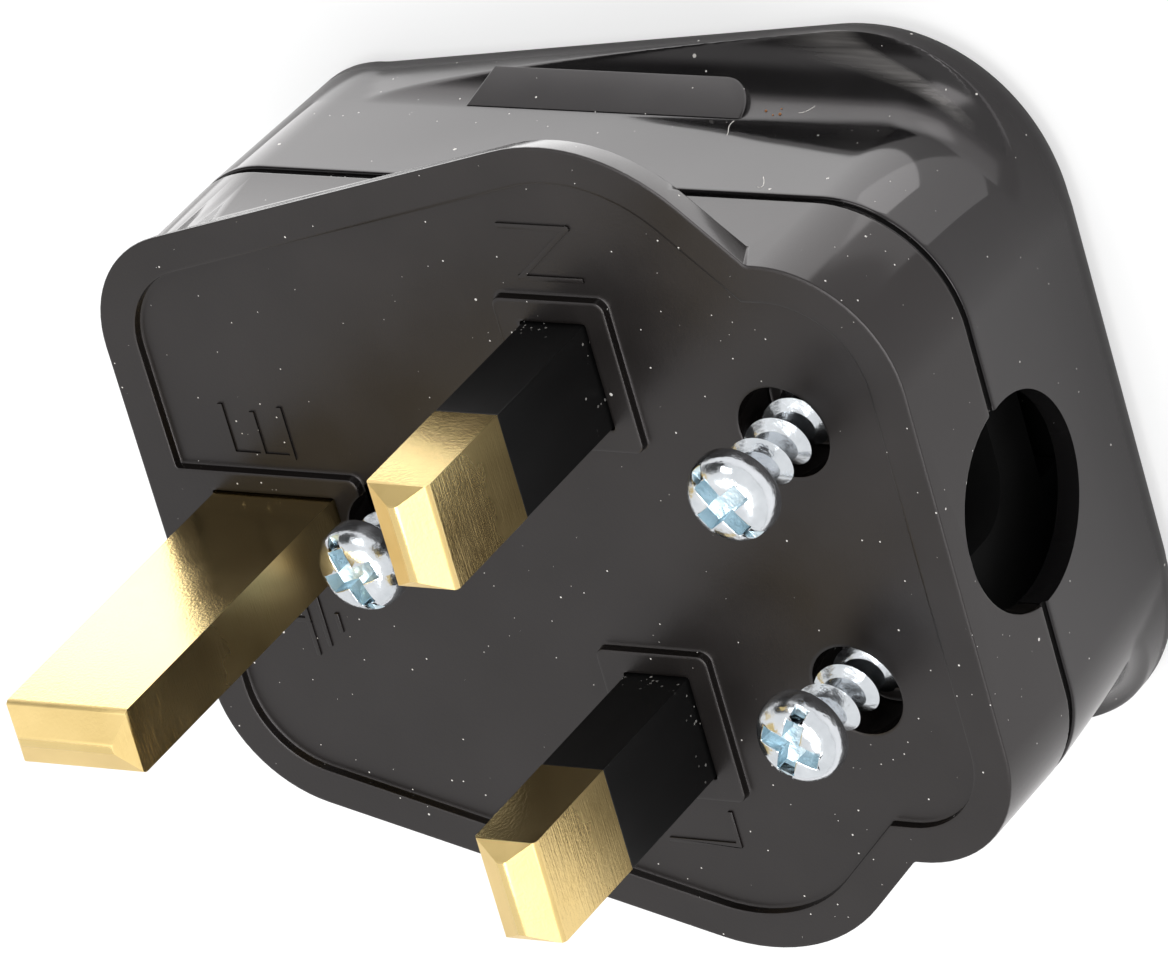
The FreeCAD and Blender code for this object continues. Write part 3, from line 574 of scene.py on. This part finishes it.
def housing_plan(inset, side_draft=0.0, cable_draft=0.0):
    """Points and outward normals of the housing's outline, from the earth end round the +X side and back."""
    side = BODY_HALF_WIDTH - inset - side_draft
    earth = BODY_EARTH_END - inset
    cable = inset + cable_draft - BODY_CABLE_END
    earth_radius = BODY_EARTH_RADIUS - inset
    cable_radius = BODY_CABLE_RADIUS - inset
    earth_centre = Vector((side - earth_radius, earth - earth_radius))
    cable_centre = Vector((side - cable_radius, cable + cable_radius))
    half = []
    for step in range(STRAIGHT_END_STEPS):
        half.append((Vector((earth_centre.x * step / STRAIGHT_END_STEPS, earth)), Vector((0, 1))))
    for step in range(CORNER_STEPS):
        turn = math.pi / 2 * (1 - step / CORNER_STEPS)
        normal = Vector((math.cos(turn), math.sin(turn)))
        half.append((earth_centre + normal * earth_radius, normal))
    for step in range(STRAIGHT_SIDE_STEPS):
        along = earth_centre.y + (cable_centre.y - earth_centre.y) * step / STRAIGHT_SIDE_STEPS
        half.append((Vector((side, along)), Vector((1, 0))))
    for step in range(CORNER_STEPS):
        turn = -math.pi / 2 * step / CORNER_STEPS
        normal = Vector((math.cos(turn), math.sin(turn)))
        half.append((cable_centre + normal * cable_radius, normal))
    for step in range(STRAIGHT_END_STEPS):
        half.append((Vector((cable_centre.x * (1 - step / STRAIGHT_END_STEPS), cable)), Vector((0, -1))))
    half.append((Vector((0, cable)), Vector((0, -1))))
    other = [(Vector((-p.x, p.y)), Vector((-n.x, n.y))) for p, n in half[-2:0:-1]]
    return half + other


def lip_reach(point, normal):
    """How far the flared lip stands out of the wall at a point of its outline."""
    flank = Vector((math.cos(LIP_ANGLE), math.sin(LIP_ANGLE)))
    corner = Vector((LIP_TIP, -LIP_CABLE_END))
    reach = 0.0
    for _ in range(REACH_ROUNDS):
        spot = point + normal * reach
        away = Vector((abs(spot.x), spot.y)) - corner
        past_flank = away.dot(flank) + LIP_RADIUS
        past_end = -away.y + LIP_RADIUS
        inside = min(max(past_flank, past_end), 0.0)
        distance = inside + math.hypot(max(past_flank, 0.0), max(past_end, 0.0)) - LIP_RADIUS
        reach -= max(distance, spot.y - LIP_EARTH_END)
    return max(reach, 0.0)


def soft_least(first, second, softness):
    """The lesser of two numbers, rounded where they meet."""
    if softness <= 0:
        return min(first, second)
    share = min(max(0.5 + 0.5 * (second - first) / softness, 0.0), 1.0)
    return second + (first - second) * share - softness * share * (1 - share)


def scoop_rise(depth):
    """How far the floor of the finger scoop has swept out of the wall at a depth."""
    sunk = min(max(depth - SCOOP_DEPTH, 0.0), SCOOP_RADIUS)
    past = max(depth - SCOOP_DEPTH - SCOOP_RADIUS, 0.0)
    return SCOOP_RADIUS - math.sqrt(SCOOP_RADIUS ** 2 - sunk ** 2) + past * LIP_SLOPE


def back_inset(depth):
    """How far the rounded edge of the back has drawn in at a depth."""
    sunk = max(depth - BACK_DEPTH + BACK_EDGE_RADIUS, 0.0)
    return BACK_EDGE_RADIUS - math.sqrt(max(BACK_EDGE_RADIUS ** 2 - sunk ** 2, 0.0))


def outer_ring(depth, inset=0.0):
    """Outline of the cover's outside at a depth."""
    start = PARTING_DEPTH + PARTING_CHAMFER
    share = max(depth - start, 0.0) / (BACK_DEPTH - start)
    ring = []
    for point, normal in housing_plan(0.0, SIDE_DRAFT * share, CABLE_FACE_DRAFT * share):
        reach = lip_reach(point, normal)
        stand = soft_least(reach, scoop_rise(depth), LIP_SOFTNESS * min(reach, LIP_SOFT_REACH))
        spot = point + normal * (stand - back_inset(depth) - inset)
        ring.append(Vector((spot.x, spot.y, -depth)))
    return ring


def inner_ring(depth):
    """Outline of the cover's inside at a depth."""
    return [Vector((p.x, p.y, -depth)) for p, _ in housing_plan(WALL)]


def cover_rings():
    """Outlines from the cavity's floor up its wall, over the parting edge and down the outside."""
    cavity = BACK_DEPTH - BACK_WALL
    rings = [inner_ring(cavity), inner_ring(PARTING_DEPTH + CAVITY_RING_STEP), inner_ring(PARTING_DEPTH)]
    groove_end = PARTING_DEPTH + PARTING_GROOVE
    rings += [outer_ring(PARTING_DEPTH, PARTING_GROOVE), outer_ring(groove_end, PARTING_GROOVE)]
    for step in range(PARTING_EDGE_STEPS + 1):
        turn = math.pi / 2 * step / PARTING_EDGE_STEPS
        inset = PARTING_EDGE * (1 - math.sin(turn))
        rings.append(outer_ring(groove_end + PARTING_EDGE * (1 - math.cos(turn)), inset))
    start = groove_end + 2 * PARTING_EDGE
    for step in range(WALL_STEPS):
        rings.append(outer_ring(start + (SCOOP_DEPTH - start) * step / WALL_STEPS))
    for step in range(SCOOP_STEPS):
        rings.append(outer_ring(SCOOP_DEPTH + SCOOP_RADIUS * math.sin(math.pi / 2 * step / SCOOP_STEPS)))
    for step in range(BACK_EDGE_STEPS + 1):
        sunk = BACK_EDGE_RADIUS * math.sin(math.pi / 2 * step / BACK_EDGE_STEPS)
        rings.append(outer_ring(BACK_DEPTH - BACK_EDGE_RADIUS + sunk))
    rings += [outer_ring(BACK_DEPTH, inset) for inset in BACK_RINGS]
    return rings


def cover_shell(finish):
    """Scooped cover: a grid bent round the housing, closed at both ends, with the cord mouth cut in it."""
    rings = cover_rings()
    columns = len(rings[0])
    deselect()
    bpy.ops.mesh.primitive_grid_add(x_subdivisions=columns, y_subdivisions=len(rings) - 1, size=1)
    piece = bpy.context.object
    for vertex in piece.data.vertices:
        column = round((vertex.co.x + 0.5) * columns) % columns
        ring = round((vertex.co.y + 0.5) * (len(rings) - 1))
        vertex.co = rings[ring][column] * MM
    edit_all(piece)
    bpy.ops.mesh.remove_doubles(threshold=MERGE_DISTANCE * MM)
    bpy.ops.mesh.select_all(action="SELECT")
    bpy.ops.mesh.fill_holes(sides=0)
    bpy.ops.mesh.select_all(action="SELECT")
    bpy.ops.mesh.normals_make_consistent(inside=False)
    leave_edit()
    piece.data.materials.append(finish)
    cut_away(piece, mouth_cutter(finish))
    smooth(piece, SHELL_SMOOTH)
    dress(piece, "cover_shell", finish, "cover_plastic", "cover_moulding")


def mouth_cutter(finish):
    """Round bar that cuts the cord mouth."""
    deselect()
    bpy.ops.mesh.primitive_cylinder_add(vertices=MOUTH_SIDES, radius=CORD_RADIUS * MM, depth=3 * WALL * MM)
    cutter = bpy.context.object
    cutter.data.materials.append(finish)
    middle = Vector((0, WALL / 2 - BODY_CABLE_END, -CORD_AXIS_DEPTH)) * MM
    set_down(cutter, Matrix.Translation(middle) @ Matrix.Rotation(math.pi / 2, 4, "X"))
    return cutter


def wall_at(depth):
    """Half width of the drafted side wall at a depth."""
    start = PARTING_DEPTH + PARTING_CHAMFER
    return BODY_HALF_WIDTH - SIDE_DRAFT * (depth - start) / (BACK_DEPTH - start)


def grip_bar(finish, side):
    """Bar in a finger scoop: a face that slopes out of the wall, a slanted earth end, a rounded cable end."""
    face = wall_at(BAR_DEPTH)
    root = face - WALL / 2
    length = BAR_EARTH_END - BAR_CABLE_END
    middle = Vector(((face + root) / 2, (BAR_EARTH_END + BAR_CABLE_END) / 2, -BAR_DEPTH - BAR_HEIGHT / 2))
    piece = box((face - root, length, BAR_HEIGHT), middle)
    for vertex in piece.data.vertices:
        if vertex.co.z < middle.z * MM:
            vertex.co.x += BAR_RISE * MM if vertex.co.x > middle.x * MM else 0
            vertex.co.y -= BAR_SLANT * MM if vertex.co.y > middle.y * MM else 0
    edit_all(piece)
    bpy.ops.mesh.select_mode(type="EDGE")
    bpy.ops.mesh.select_all(action="DESELECT")
    leave_edit()
    for edge in piece.data.edges:
        ends = [piece.data.vertices[index].co for index in edge.vertices]
        edge.select = all(end.y < middle.y * MM and end.z < middle.z * MM for end in ends)
    bpy.ops.object.mode_set(mode="EDIT")
    bpy.ops.mesh.bevel(offset=BAR_END_RADIUS * MM, segments=BAR_END_STEPS, affect="EDGES")
    bpy.ops.mesh.select_mode(type="VERT")
    leave_edit()
    apply_modifier(
        piece, "BEVEL", width=BAR_EDGE * MM, segments=3, limit_method="ANGLE",
        angle_limit=math.radians(SHELL_SMOOTH))
    if side < 0:
        set_down(piece, Matrix.Scale(-1, 4, (1, 0, 0)))
        edit_all(piece)
        bpy.ops.mesh.normals_make_consistent(inside=False)
        leave_edit()
    smooth(piece, SHELL_SMOOTH)
    apply_modifier(piece, "WEIGHTED_NORMAL", keep_sharp=True)
    dress(piece, f"grip_bar_{'n' if side > 0 else 'l'}", finish, "cover_plastic")


# Screws

def lathe(name, profile):
    """Solid of revolution of a profile of (radius, height) points."""
    deselect()
    bpy.ops.mesh.primitive_grid_add(x_subdivisions=LATHE_STEPS, y_subdivisions=len(profile) - 1, size=1)
    piece = bpy.context.object
    piece.name = name
    for vertex in piece.data.vertices:
        turn = 2 * math.pi * round((vertex.co.x + 0.5) * LATHE_STEPS) / LATHE_STEPS
        radius, height = profile[round((vertex.co.y + 0.5) * (len(profile) - 1))]
        vertex.co = Vector((radius * math.cos(turn), radius * math.sin(turn), height)) * MM
    edit_all(piece)
    bpy.ops.mesh.remove_doubles(threshold=MERGE_DISTANCE * MM)
    bpy.ops.mesh.select_all(action="SELECT")
    bpy.ops.mesh.normals_make_consistent(inside=False)
    leave_edit()
    return piece


def thread():
    """Coarse thread: a diamond section swept up a helix, its inner half sunk in the core."""
    turns = int((SCREW_LENGTH - SCREW_POINT) / THREAD_PITCH)
    root = CORE_RADIUS - THREAD_SINK
    deselect()
    bpy.ops.mesh.primitive_circle_add(vertices=4, radius=1)
    piece = bpy.context.object
    for vertex in piece.data.vertices:
        out = vertex.co.x * (THREAD_RADIUS - root) + root
        rise = vertex.co.y * THREAD_ROOT_HALF + SCREW_LENGTH - turns * THREAD_PITCH
        vertex.co = Vector((out, 0, rise)) * MM
    apply_modifier(
        piece, "SCREW", axis="Z", angle=2 * math.pi, screw_offset=THREAD_PITCH * MM,
        iterations=turns, steps=THREAD_STEPS, render_steps=THREAD_STEPS, use_merge_vertices=False)
    edit_all(piece)
    bpy.ops.mesh.fill_holes(sides=0)
    bpy.ops.mesh.select_all(action="SELECT")
    bpy.ops.mesh.normals_make_consistent(inside=False)
    leave_edit()
    return piece


def self_tapper(zinc, recess):
    """Pan-head screw with a slot and a cross in its head and a coarse thread, drawn from its point up."""
    crown = SCREW_LENGTH + HEAD_HEIGHT
    profile = [
        (0, 0), (CORE_RADIUS, SCREW_POINT), (CORE_RADIUS, SCREW_LENGTH),
        (HEAD_RADIUS - HEAD_EDGE, SCREW_LENGTH), (HEAD_RADIUS, SCREW_LENGTH + HEAD_EDGE)]
    for step in range(DOME_STEPS + 1):
        turn = math.pi / 2 * step / DOME_STEPS
        radius = HEAD_RADIUS - DOME_RADIUS * (1 - math.cos(turn))
        profile.append((radius, crown - DOME_RADIUS * (1 - math.sin(turn))))
    profile.append((0, crown + CROWN_RISE))
    piece = lathe("self_tapper", profile)
    piece.data.materials.append(zinc)
    for turn in (0, math.pi / 2):
        arm = box((2 * RECESS_HALF_SPAN, RECESS_WIDTH, 2 * RECESS_DEEP), (0, 0, crown))
        arm.data.materials.append(recess)
        set_down(arm, Matrix.Rotation(turn, 4, "Z"))
        cut_away(piece, arm)
    slot = box((3 * HEAD_RADIUS, SLOT_WIDTH, 2 * SLOT_DEEP), (0, 0, crown))
    slot.data.materials.append(recess)
    cut_away(piece, slot)
    apply_modifier(
        piece, "BEVEL", width=RECESS_EDGE * MM, segments=2, limit_method="ANGLE",
        angle_limit=math.radians(SHARP_ANGLE), use_clamp_overlap=False)
    ridge = thread()
    ridge.data.materials.append(zinc)
    make_active(piece)
    ridge.select_set(True)
    bpy.ops.object.join()
    smooth(piece, SCREW_SMOOTH)
    return piece


def screw_place(x, y, lift, turn, lean=0.0, heading=0.0):
    """Stance of a screw: turned, then leant towards a heading about its point."""
    hinge = Matrix.Rotation(math.radians(heading), 3, "Z") @ Vector((0, 1, 0))
    stand = Matrix.Translation(Vector((x, y, lift - SCREW_LENGTH)) * MM)
    return stand @ Matrix.Rotation(math.radians(lean), 4, hinge) @ Matrix.Rotation(math.radians(turn), 4, "Z")


SCREWS = {
    "case_screw": screw_place(x=0, y=14.88, lift=2.4, turn=20),
    "cord_grip_screw_n": screw_place(x=8.1, y=-12.6, lift=4.9, turn=35, lean=1.4, heading=-105),
    "cord_grip_screw_l": screw_place(x=-8.1, y=-12.6, lift=4.0, turn=-25, lean=2.1, heading=45),
}


def screws(zinc, recess):
    """The three backed-out screws, modelled once and copied."""
    pattern = self_tapper(zinc, recess)
    for node, place in SCREWS.items():
        piece = pattern.copy()
        piece.data = pattern.data.copy()
        bpy.context.scene.collection.objects.link(piece)
        set_down(piece, place)
        dress(piece, f"{node}_threaded", zinc, "zinc_screw", node)
    bpy.data.objects.remove(pattern)


# Marks, each a list of lines between two points of the panel, in millimetres

MARKS = {
    "mark_neutral": [((20.1, 1.95), (20.1, -2.4)), ((20.1, -2.4), (16.9, 1.45)),
                     ((16.9, 1.45), (16.9, -2.4))],
    "mark_line": [((-18.95, 2.45), (-18.95, -1.95)), ((-18.95, -1.95), (-16.9, -1.95))],
    "mark_earth": [((4.35, 24.3), (4.35, 20.35)), ((4.35, 24.3), (7.4, 24.3)),
                   ((4.35, 22.3), (7.0, 22.3)), ((4.35, 20.35), (7.4, 20.35))],
    "mark_earth_sign": [((-4.2, 22.8), (-8.5, 22.8)), ((-4.85, 21.83), (-7.85, 21.83)),
                        ((-5.9, 20.75), (-6.85, 20.75)), ((-6.35, 22.8), (-6.35, 24.3))],
}


def stroke(start, end):
    """Raised line of a mark on the panel."""
    run = Vector(end) - Vector(start)
    piece = box((run.length + MARK_WIDTH, MARK_WIDTH, 2 * MARK_HEIGHT), (0, 0, 0))
    middle = (Vector(start) + Vector(end)) / 2
    place = Matrix.Translation(Vector((middle.x, middle.y, PANEL_LEVEL)) * MM)
    set_down(piece, place @ Matrix.Rotation(math.atan2(run.y, run.x), 4, "Z"))
    return piece


def marks(finish):
    """Letters of the terminals and the earth sign, drawn in raised lines."""
    for name, lines in MARKS.items():
        piece, *others = [stroke(start, end) for start, end in lines]
        for other in others:
            apply_modifier(piece, "BOOLEAN", object=other, operation="UNION", solver="EXACT")
            bpy.data.objects.remove(other)
        apply_modifier(
            piece, "BEVEL", width=MARK_EDGE * MM, segments=3, limit_method="ANGLE",
            angle_limit=math.radians(MARK_SHARP_ANGLE))
        smooth(piece, SHELL_SMOOTH)
        dress(piece, name, finish, "base_plastic")


# Lint and crumbs on the +X side of the cover, by place along the side and depth, in millimetres

LINT_RADIUS = 0.02
LINT = {
    "lint_wall": [(-4.0, 14.9), (-3.8, 14.2), (-4.4, 13.9), (-4.5, 13.3)],
    "lint_scoop": [(-7.6, 15.9), (-8.0, 15.8), (-8.2, 16.2), (-8.4, 16.4)],
    "lint_parting": [(-9.4, 9.0), (-10.0, 8.3), (-10.2, 7.6), (-9.7, 7.9)],
}
CRUMBS = {
    "crumb_a": (-5.5, 15.9, 0.09),
    "crumb_b": (-6.1, 15.6, 0.06),
    "crumb_c": (-6.5, 15.7, 0.1),
    "crumb_d": (-6.4, 16.1, 0.06),
}


def side_spot(across, depth):
    """Point on the +X side of the cover."""
    return Vector((wall_at(depth) + scoop_rise(depth), across, -depth)) * MM


def fibre(name, spots, finish):
    """Thin bent fibre that lies on the side of the cover."""
    deselect()
    bpy.ops.curve.primitive_nurbs_path_add(location=(0, 0, 0))
    piece = bpy.context.object
    ends = [spots[0]] + spots
    for point, spot in zip(piece.data.splines[0].points, ends):
        point.co = (*side_spot(*spot), 1)
    piece.data.bevel_depth = LINT_RADIUS * MM
    piece.data.use_fill_caps = True
    bpy.ops.object.convert(target="MESH")
    smooth(bpy.context.object, LINT_SMOOTH)
    dress(bpy.context.object, name, finish, "cover_plastic")


def crumb(name, across, depth, radius, finish):
    """Rough grain that sits on the side of the cover."""
    deselect()
    spot = side_spot(across, depth)
    bpy.ops.mesh.primitive_ico_sphere_add(subdivisions=1, radius=radius * MM, location=spot)
    bpy.ops.object.transform_apply(location=True, rotation=True, scale=True)
    dress(bpy.context.object, name, finish, "cover_plastic")


# Dressing the part

BASE = base_plastic()
COVER = cover_plastic()
BRASS = pin_brass()
SLEEVE = sleeve_plastic()
ZINC = plated(
    "zinc_plate", dark=(0.6, 0.64, 0.68, 1), pale=(0.88, 0.91, 0.94, 1), roughness=(0.12, 0.26), dents=0.05)
RECESS = plated(
    "zinc_recess", dark=(0.5, 0.63, 0.7, 1), pale=(0.74, 0.85, 0.9, 1), roughness=(0.25, 0.4), dents=0.15)
LINT_FLUFF = dirt("lint", dark=(0.45, 0.43, 0.4, 1), pale=(0.7, 0.68, 0.65, 1))
RUST = dirt("rust", dark=(0.2, 0.07, 0.02, 1), pale=(0.45, 0.2, 0.08, 1))
INNER = {slot: mottled(slot, **look) for slot, look in INNER_LOOKS.items()}

for subpart in frame["record"]["subparts"]:
    finish = INNER.get(subpart["material_slot"])
    if finish:
        node = frame["nodes"][subpart["node"]]
        for slot in node.material_slots:
            slot.material = finish

base_shell = refined("base_moulding", SHELL_EDGE, banded=True)
dress(base_shell, "base_shell", BASE, "base_plastic", "base_moulding")
cover_shell(COVER)
for side in (1, -1):
    grip_bar(COVER, side)
for pin in ("earth_pin", "neutral_pin", "line_pin"):
    blade = refined(pin, PIN_EDGE, segments=3, sharp=PIN_SHARP_ANGLE, clamped=True)
    dress(blade, f"{pin}_rounded", BRASS, "pin_brass", pin)
for sleeve in ("neutral_sleeve", "line_sleeve"):
    dress(refined(sleeve, SLEEVE_EDGE), f"{sleeve}_rounded", SLEEVE, "sleeve_plastic", sleeve)
screws(ZINC, RECESS)
marks(BASE)
for name, spots in LINT.items():
    fibre(name, spots, LINT_FLUFF)
for name, (across, depth, radius) in CRUMBS.items():
    crumb(name, across, depth, radius, RUST)


# Floor, light and camera

FLOOR_SIZE = 6
FLOOR_GAP = 0.02
PAPER_DARK = (0.93, 0.93, 0.93, 1)
PAPER_PALE = (0.95, 0.95, 0.95, 1)
PAPER_TONE_SCALE = 30
PAPER_FILL = 0.65
MIRRORED_PAPER = (0.65, 0.64, 0.64, 1)
WHITE = (1, 1, 1, 1)

# Dark side of the surroundings: its direction, its brightness and its inner and outer edges in degrees
SKY_STRENGTH = 0.9
SKY_DARK_WAY = (0.78, 0.56, 0.28)
SKY_DARK_LEVEL = 0.06
SKY_DARK_FULL = 20
SKY_DARK_END = 33

# Lamps, in metres; the two panels lie beside the plug and face straight up
LAMPS = {
    "low_panel": {
        "place": (0.0245, 0.0555, -0.0205), "target": (0.0245, 0.0555, 1),
        "width": 0.018, "height": 0.149, "radiance": 1.9, "turn": -LIP_ANGLE},
    "corner_panel": {
        "place": (0.027, -0.0218, -0.0205), "target": (0.027, -0.0218, 1),
        "width": 0.012, "height": 0.016, "radiance": 0.8, "turn": math.radians(40)},
    "top_lamp": {
        "place": (-0.05, -0.05, 0.7), "target": (0, 0, 0), "width": 0.5, "height": 0.5, "radiance": 5.5},
    "side_lamp": {
        "place": (0.66, 0.07, 0.42), "target": (0, 0, 0), "width": 0.3, "height": 0.3, "radiance": 3.5},
}

CAMERA_TARGET = Vector((3.561, 1.778, -0.963)) * MM
CAMERA_DISTANCE = 604.36 * MM
CAMERA_AZIMUTH = math.radians(39.80)
CAMERA_ELEVATION = math.radians(43.51)
CAMERA_ROLL = math.radians(-136.31)
CAMERA_LENS = 346.74
CAMERA_SENSOR = 36
CAMERA_NEAR = 0.01


def floor():
    """Wide white floor under the flat back."""
    deselect()
    bpy.ops.mesh.primitive_plane_add(size=FLOOR_SIZE, location=(0, 0, -(BACK_DEPTH + FLOOR_GAP) * MM))
    ground = bpy.context.object
    ground.name = "floor"
    ground.data.materials.append(floor_paper())


def floor_paper():
    """White paper that keeps a light shadow, and is duller in reflections."""
    finish = Finish("floor_paper")
    colour = finish.mix(finish.noise(PAPER_TONE_SCALE, detail=2), PAPER_DARK, PAPER_PALE)
    paper = finish.node("ShaderNodeBsdfDiffuse", sockets={"Color": colour})
    white = finish.node("ShaderNodeEmission", sockets={"Color": WHITE, "Strength": 1.0})
    mirrored = finish.node("ShaderNodeLightPath", output="Is Glossy Ray")
    through = finish.node("ShaderNodeLightPath", output="Is Transmission Ray")
    seen = finish.node("ShaderNodeLightPath", output="Is Camera Ray")
    fill = finish.node("ShaderNodeMixShader", sockets={0: PAPER_FILL * seen, 1: paper, 2: white})
    dull = finish.node("ShaderNodeBsdfDiffuse", sockets={"Color": MIRRORED_PAPER})
    shown = finish.node("ShaderNodeMixShader", sockets={0: mirrored + through, 1: fill, 2: dull})
    finish.node("ShaderNodeOutputMaterial", sockets={"Surface": shown})
    return finish.material


def lamp(name, place, target, width, height, radiance, turn=0.0):
    """Flat soft lamp of a given brightness, turned about its own axis and unseen by the camera itself."""
    light = bpy.data.lights.new(name, "AREA")
    light.shape = "RECTANGLE"
    light.size = width
    light.size_y = height
    light.energy = radiance * math.pi * width * height
    piece = bpy.data.objects.new(name, light)
    piece.location = place
    aim = (Vector(target) - Vector(place)).to_track_quat("-Z", "Y").to_matrix()
    piece.rotation_euler = (aim @ Matrix.Rotation(turn, 3, "Z")).to_euler()
    piece.visible_camera = False
    bpy.context.scene.collection.objects.link(piece)


def sky():
    """White surroundings with one soft dark side, as from a black screen."""
    world = bpy.data.worlds.new("surroundings")
    bpy.context.scene.world = world
    world.use_nodes = True
    tree = world.node_tree
    background = tree.nodes["Background"]
    background.inputs["Strength"].default_value = SKY_STRENGTH
    way = tree.nodes.new("ShaderNodeTexCoord").outputs["Generated"]
    turned = tree.nodes.new("ShaderNodeVectorMath")
    turned.operation = "DOT_PRODUCT"
    turned.inputs[1].default_value = Vector(SKY_DARK_WAY).normalized()
    tree.links.new(way, turned.inputs[0])
    tone = tree.nodes.new("ShaderNodeMapRange")
    tone.inputs["From Min"].default_value = math.cos(math.radians(SKY_DARK_END))
    tone.inputs["From Max"].default_value = math.cos(math.radians(SKY_DARK_FULL))
    tone.inputs["To Min"].default_value = 1.0
    tone.inputs["To Max"].default_value = SKY_DARK_LEVEL
    tree.links.new(turned.outputs["Value"], tone.inputs["Value"])
    tree.links.new(tone.outputs["Result"], background.inputs["Color"])


def camera():
    """Long lens at the photograph's viewing angle."""
    back = Vector((
        math.sin(CAMERA_AZIMUTH) * math.cos(CAMERA_ELEVATION),
        -math.cos(CAMERA_AZIMUTH) * math.cos(CAMERA_ELEVATION),
        math.sin(CAMERA_ELEVATION)))
    data = bpy.data.cameras.new("camera")
    data.sensor_width = CAMERA_SENSOR
    data.lens = CAMERA_LENS
    data.clip_start = CAMERA_NEAR
    eye = bpy.data.objects.new("camera", data)
    level = (-back).to_track_quat("-Z", "Y").to_matrix()
    turned = level @ Matrix.Rotation(CAMERA_ROLL, 3, "Z")
    place = CAMERA_TARGET + back * CAMERA_DISTANCE
    eye.matrix_world = Matrix.LocRotScale(place, turned.to_quaternion(), None)
    bpy.context.scene.collection.objects.link(eye)
    bpy.context.scene.camera = eye


floor()
sky()
for name, lights in LAMPS.items():
    lamp(name, **lights)
camera()
bpy.context.scene.view_settings.view_transform = "Standard"
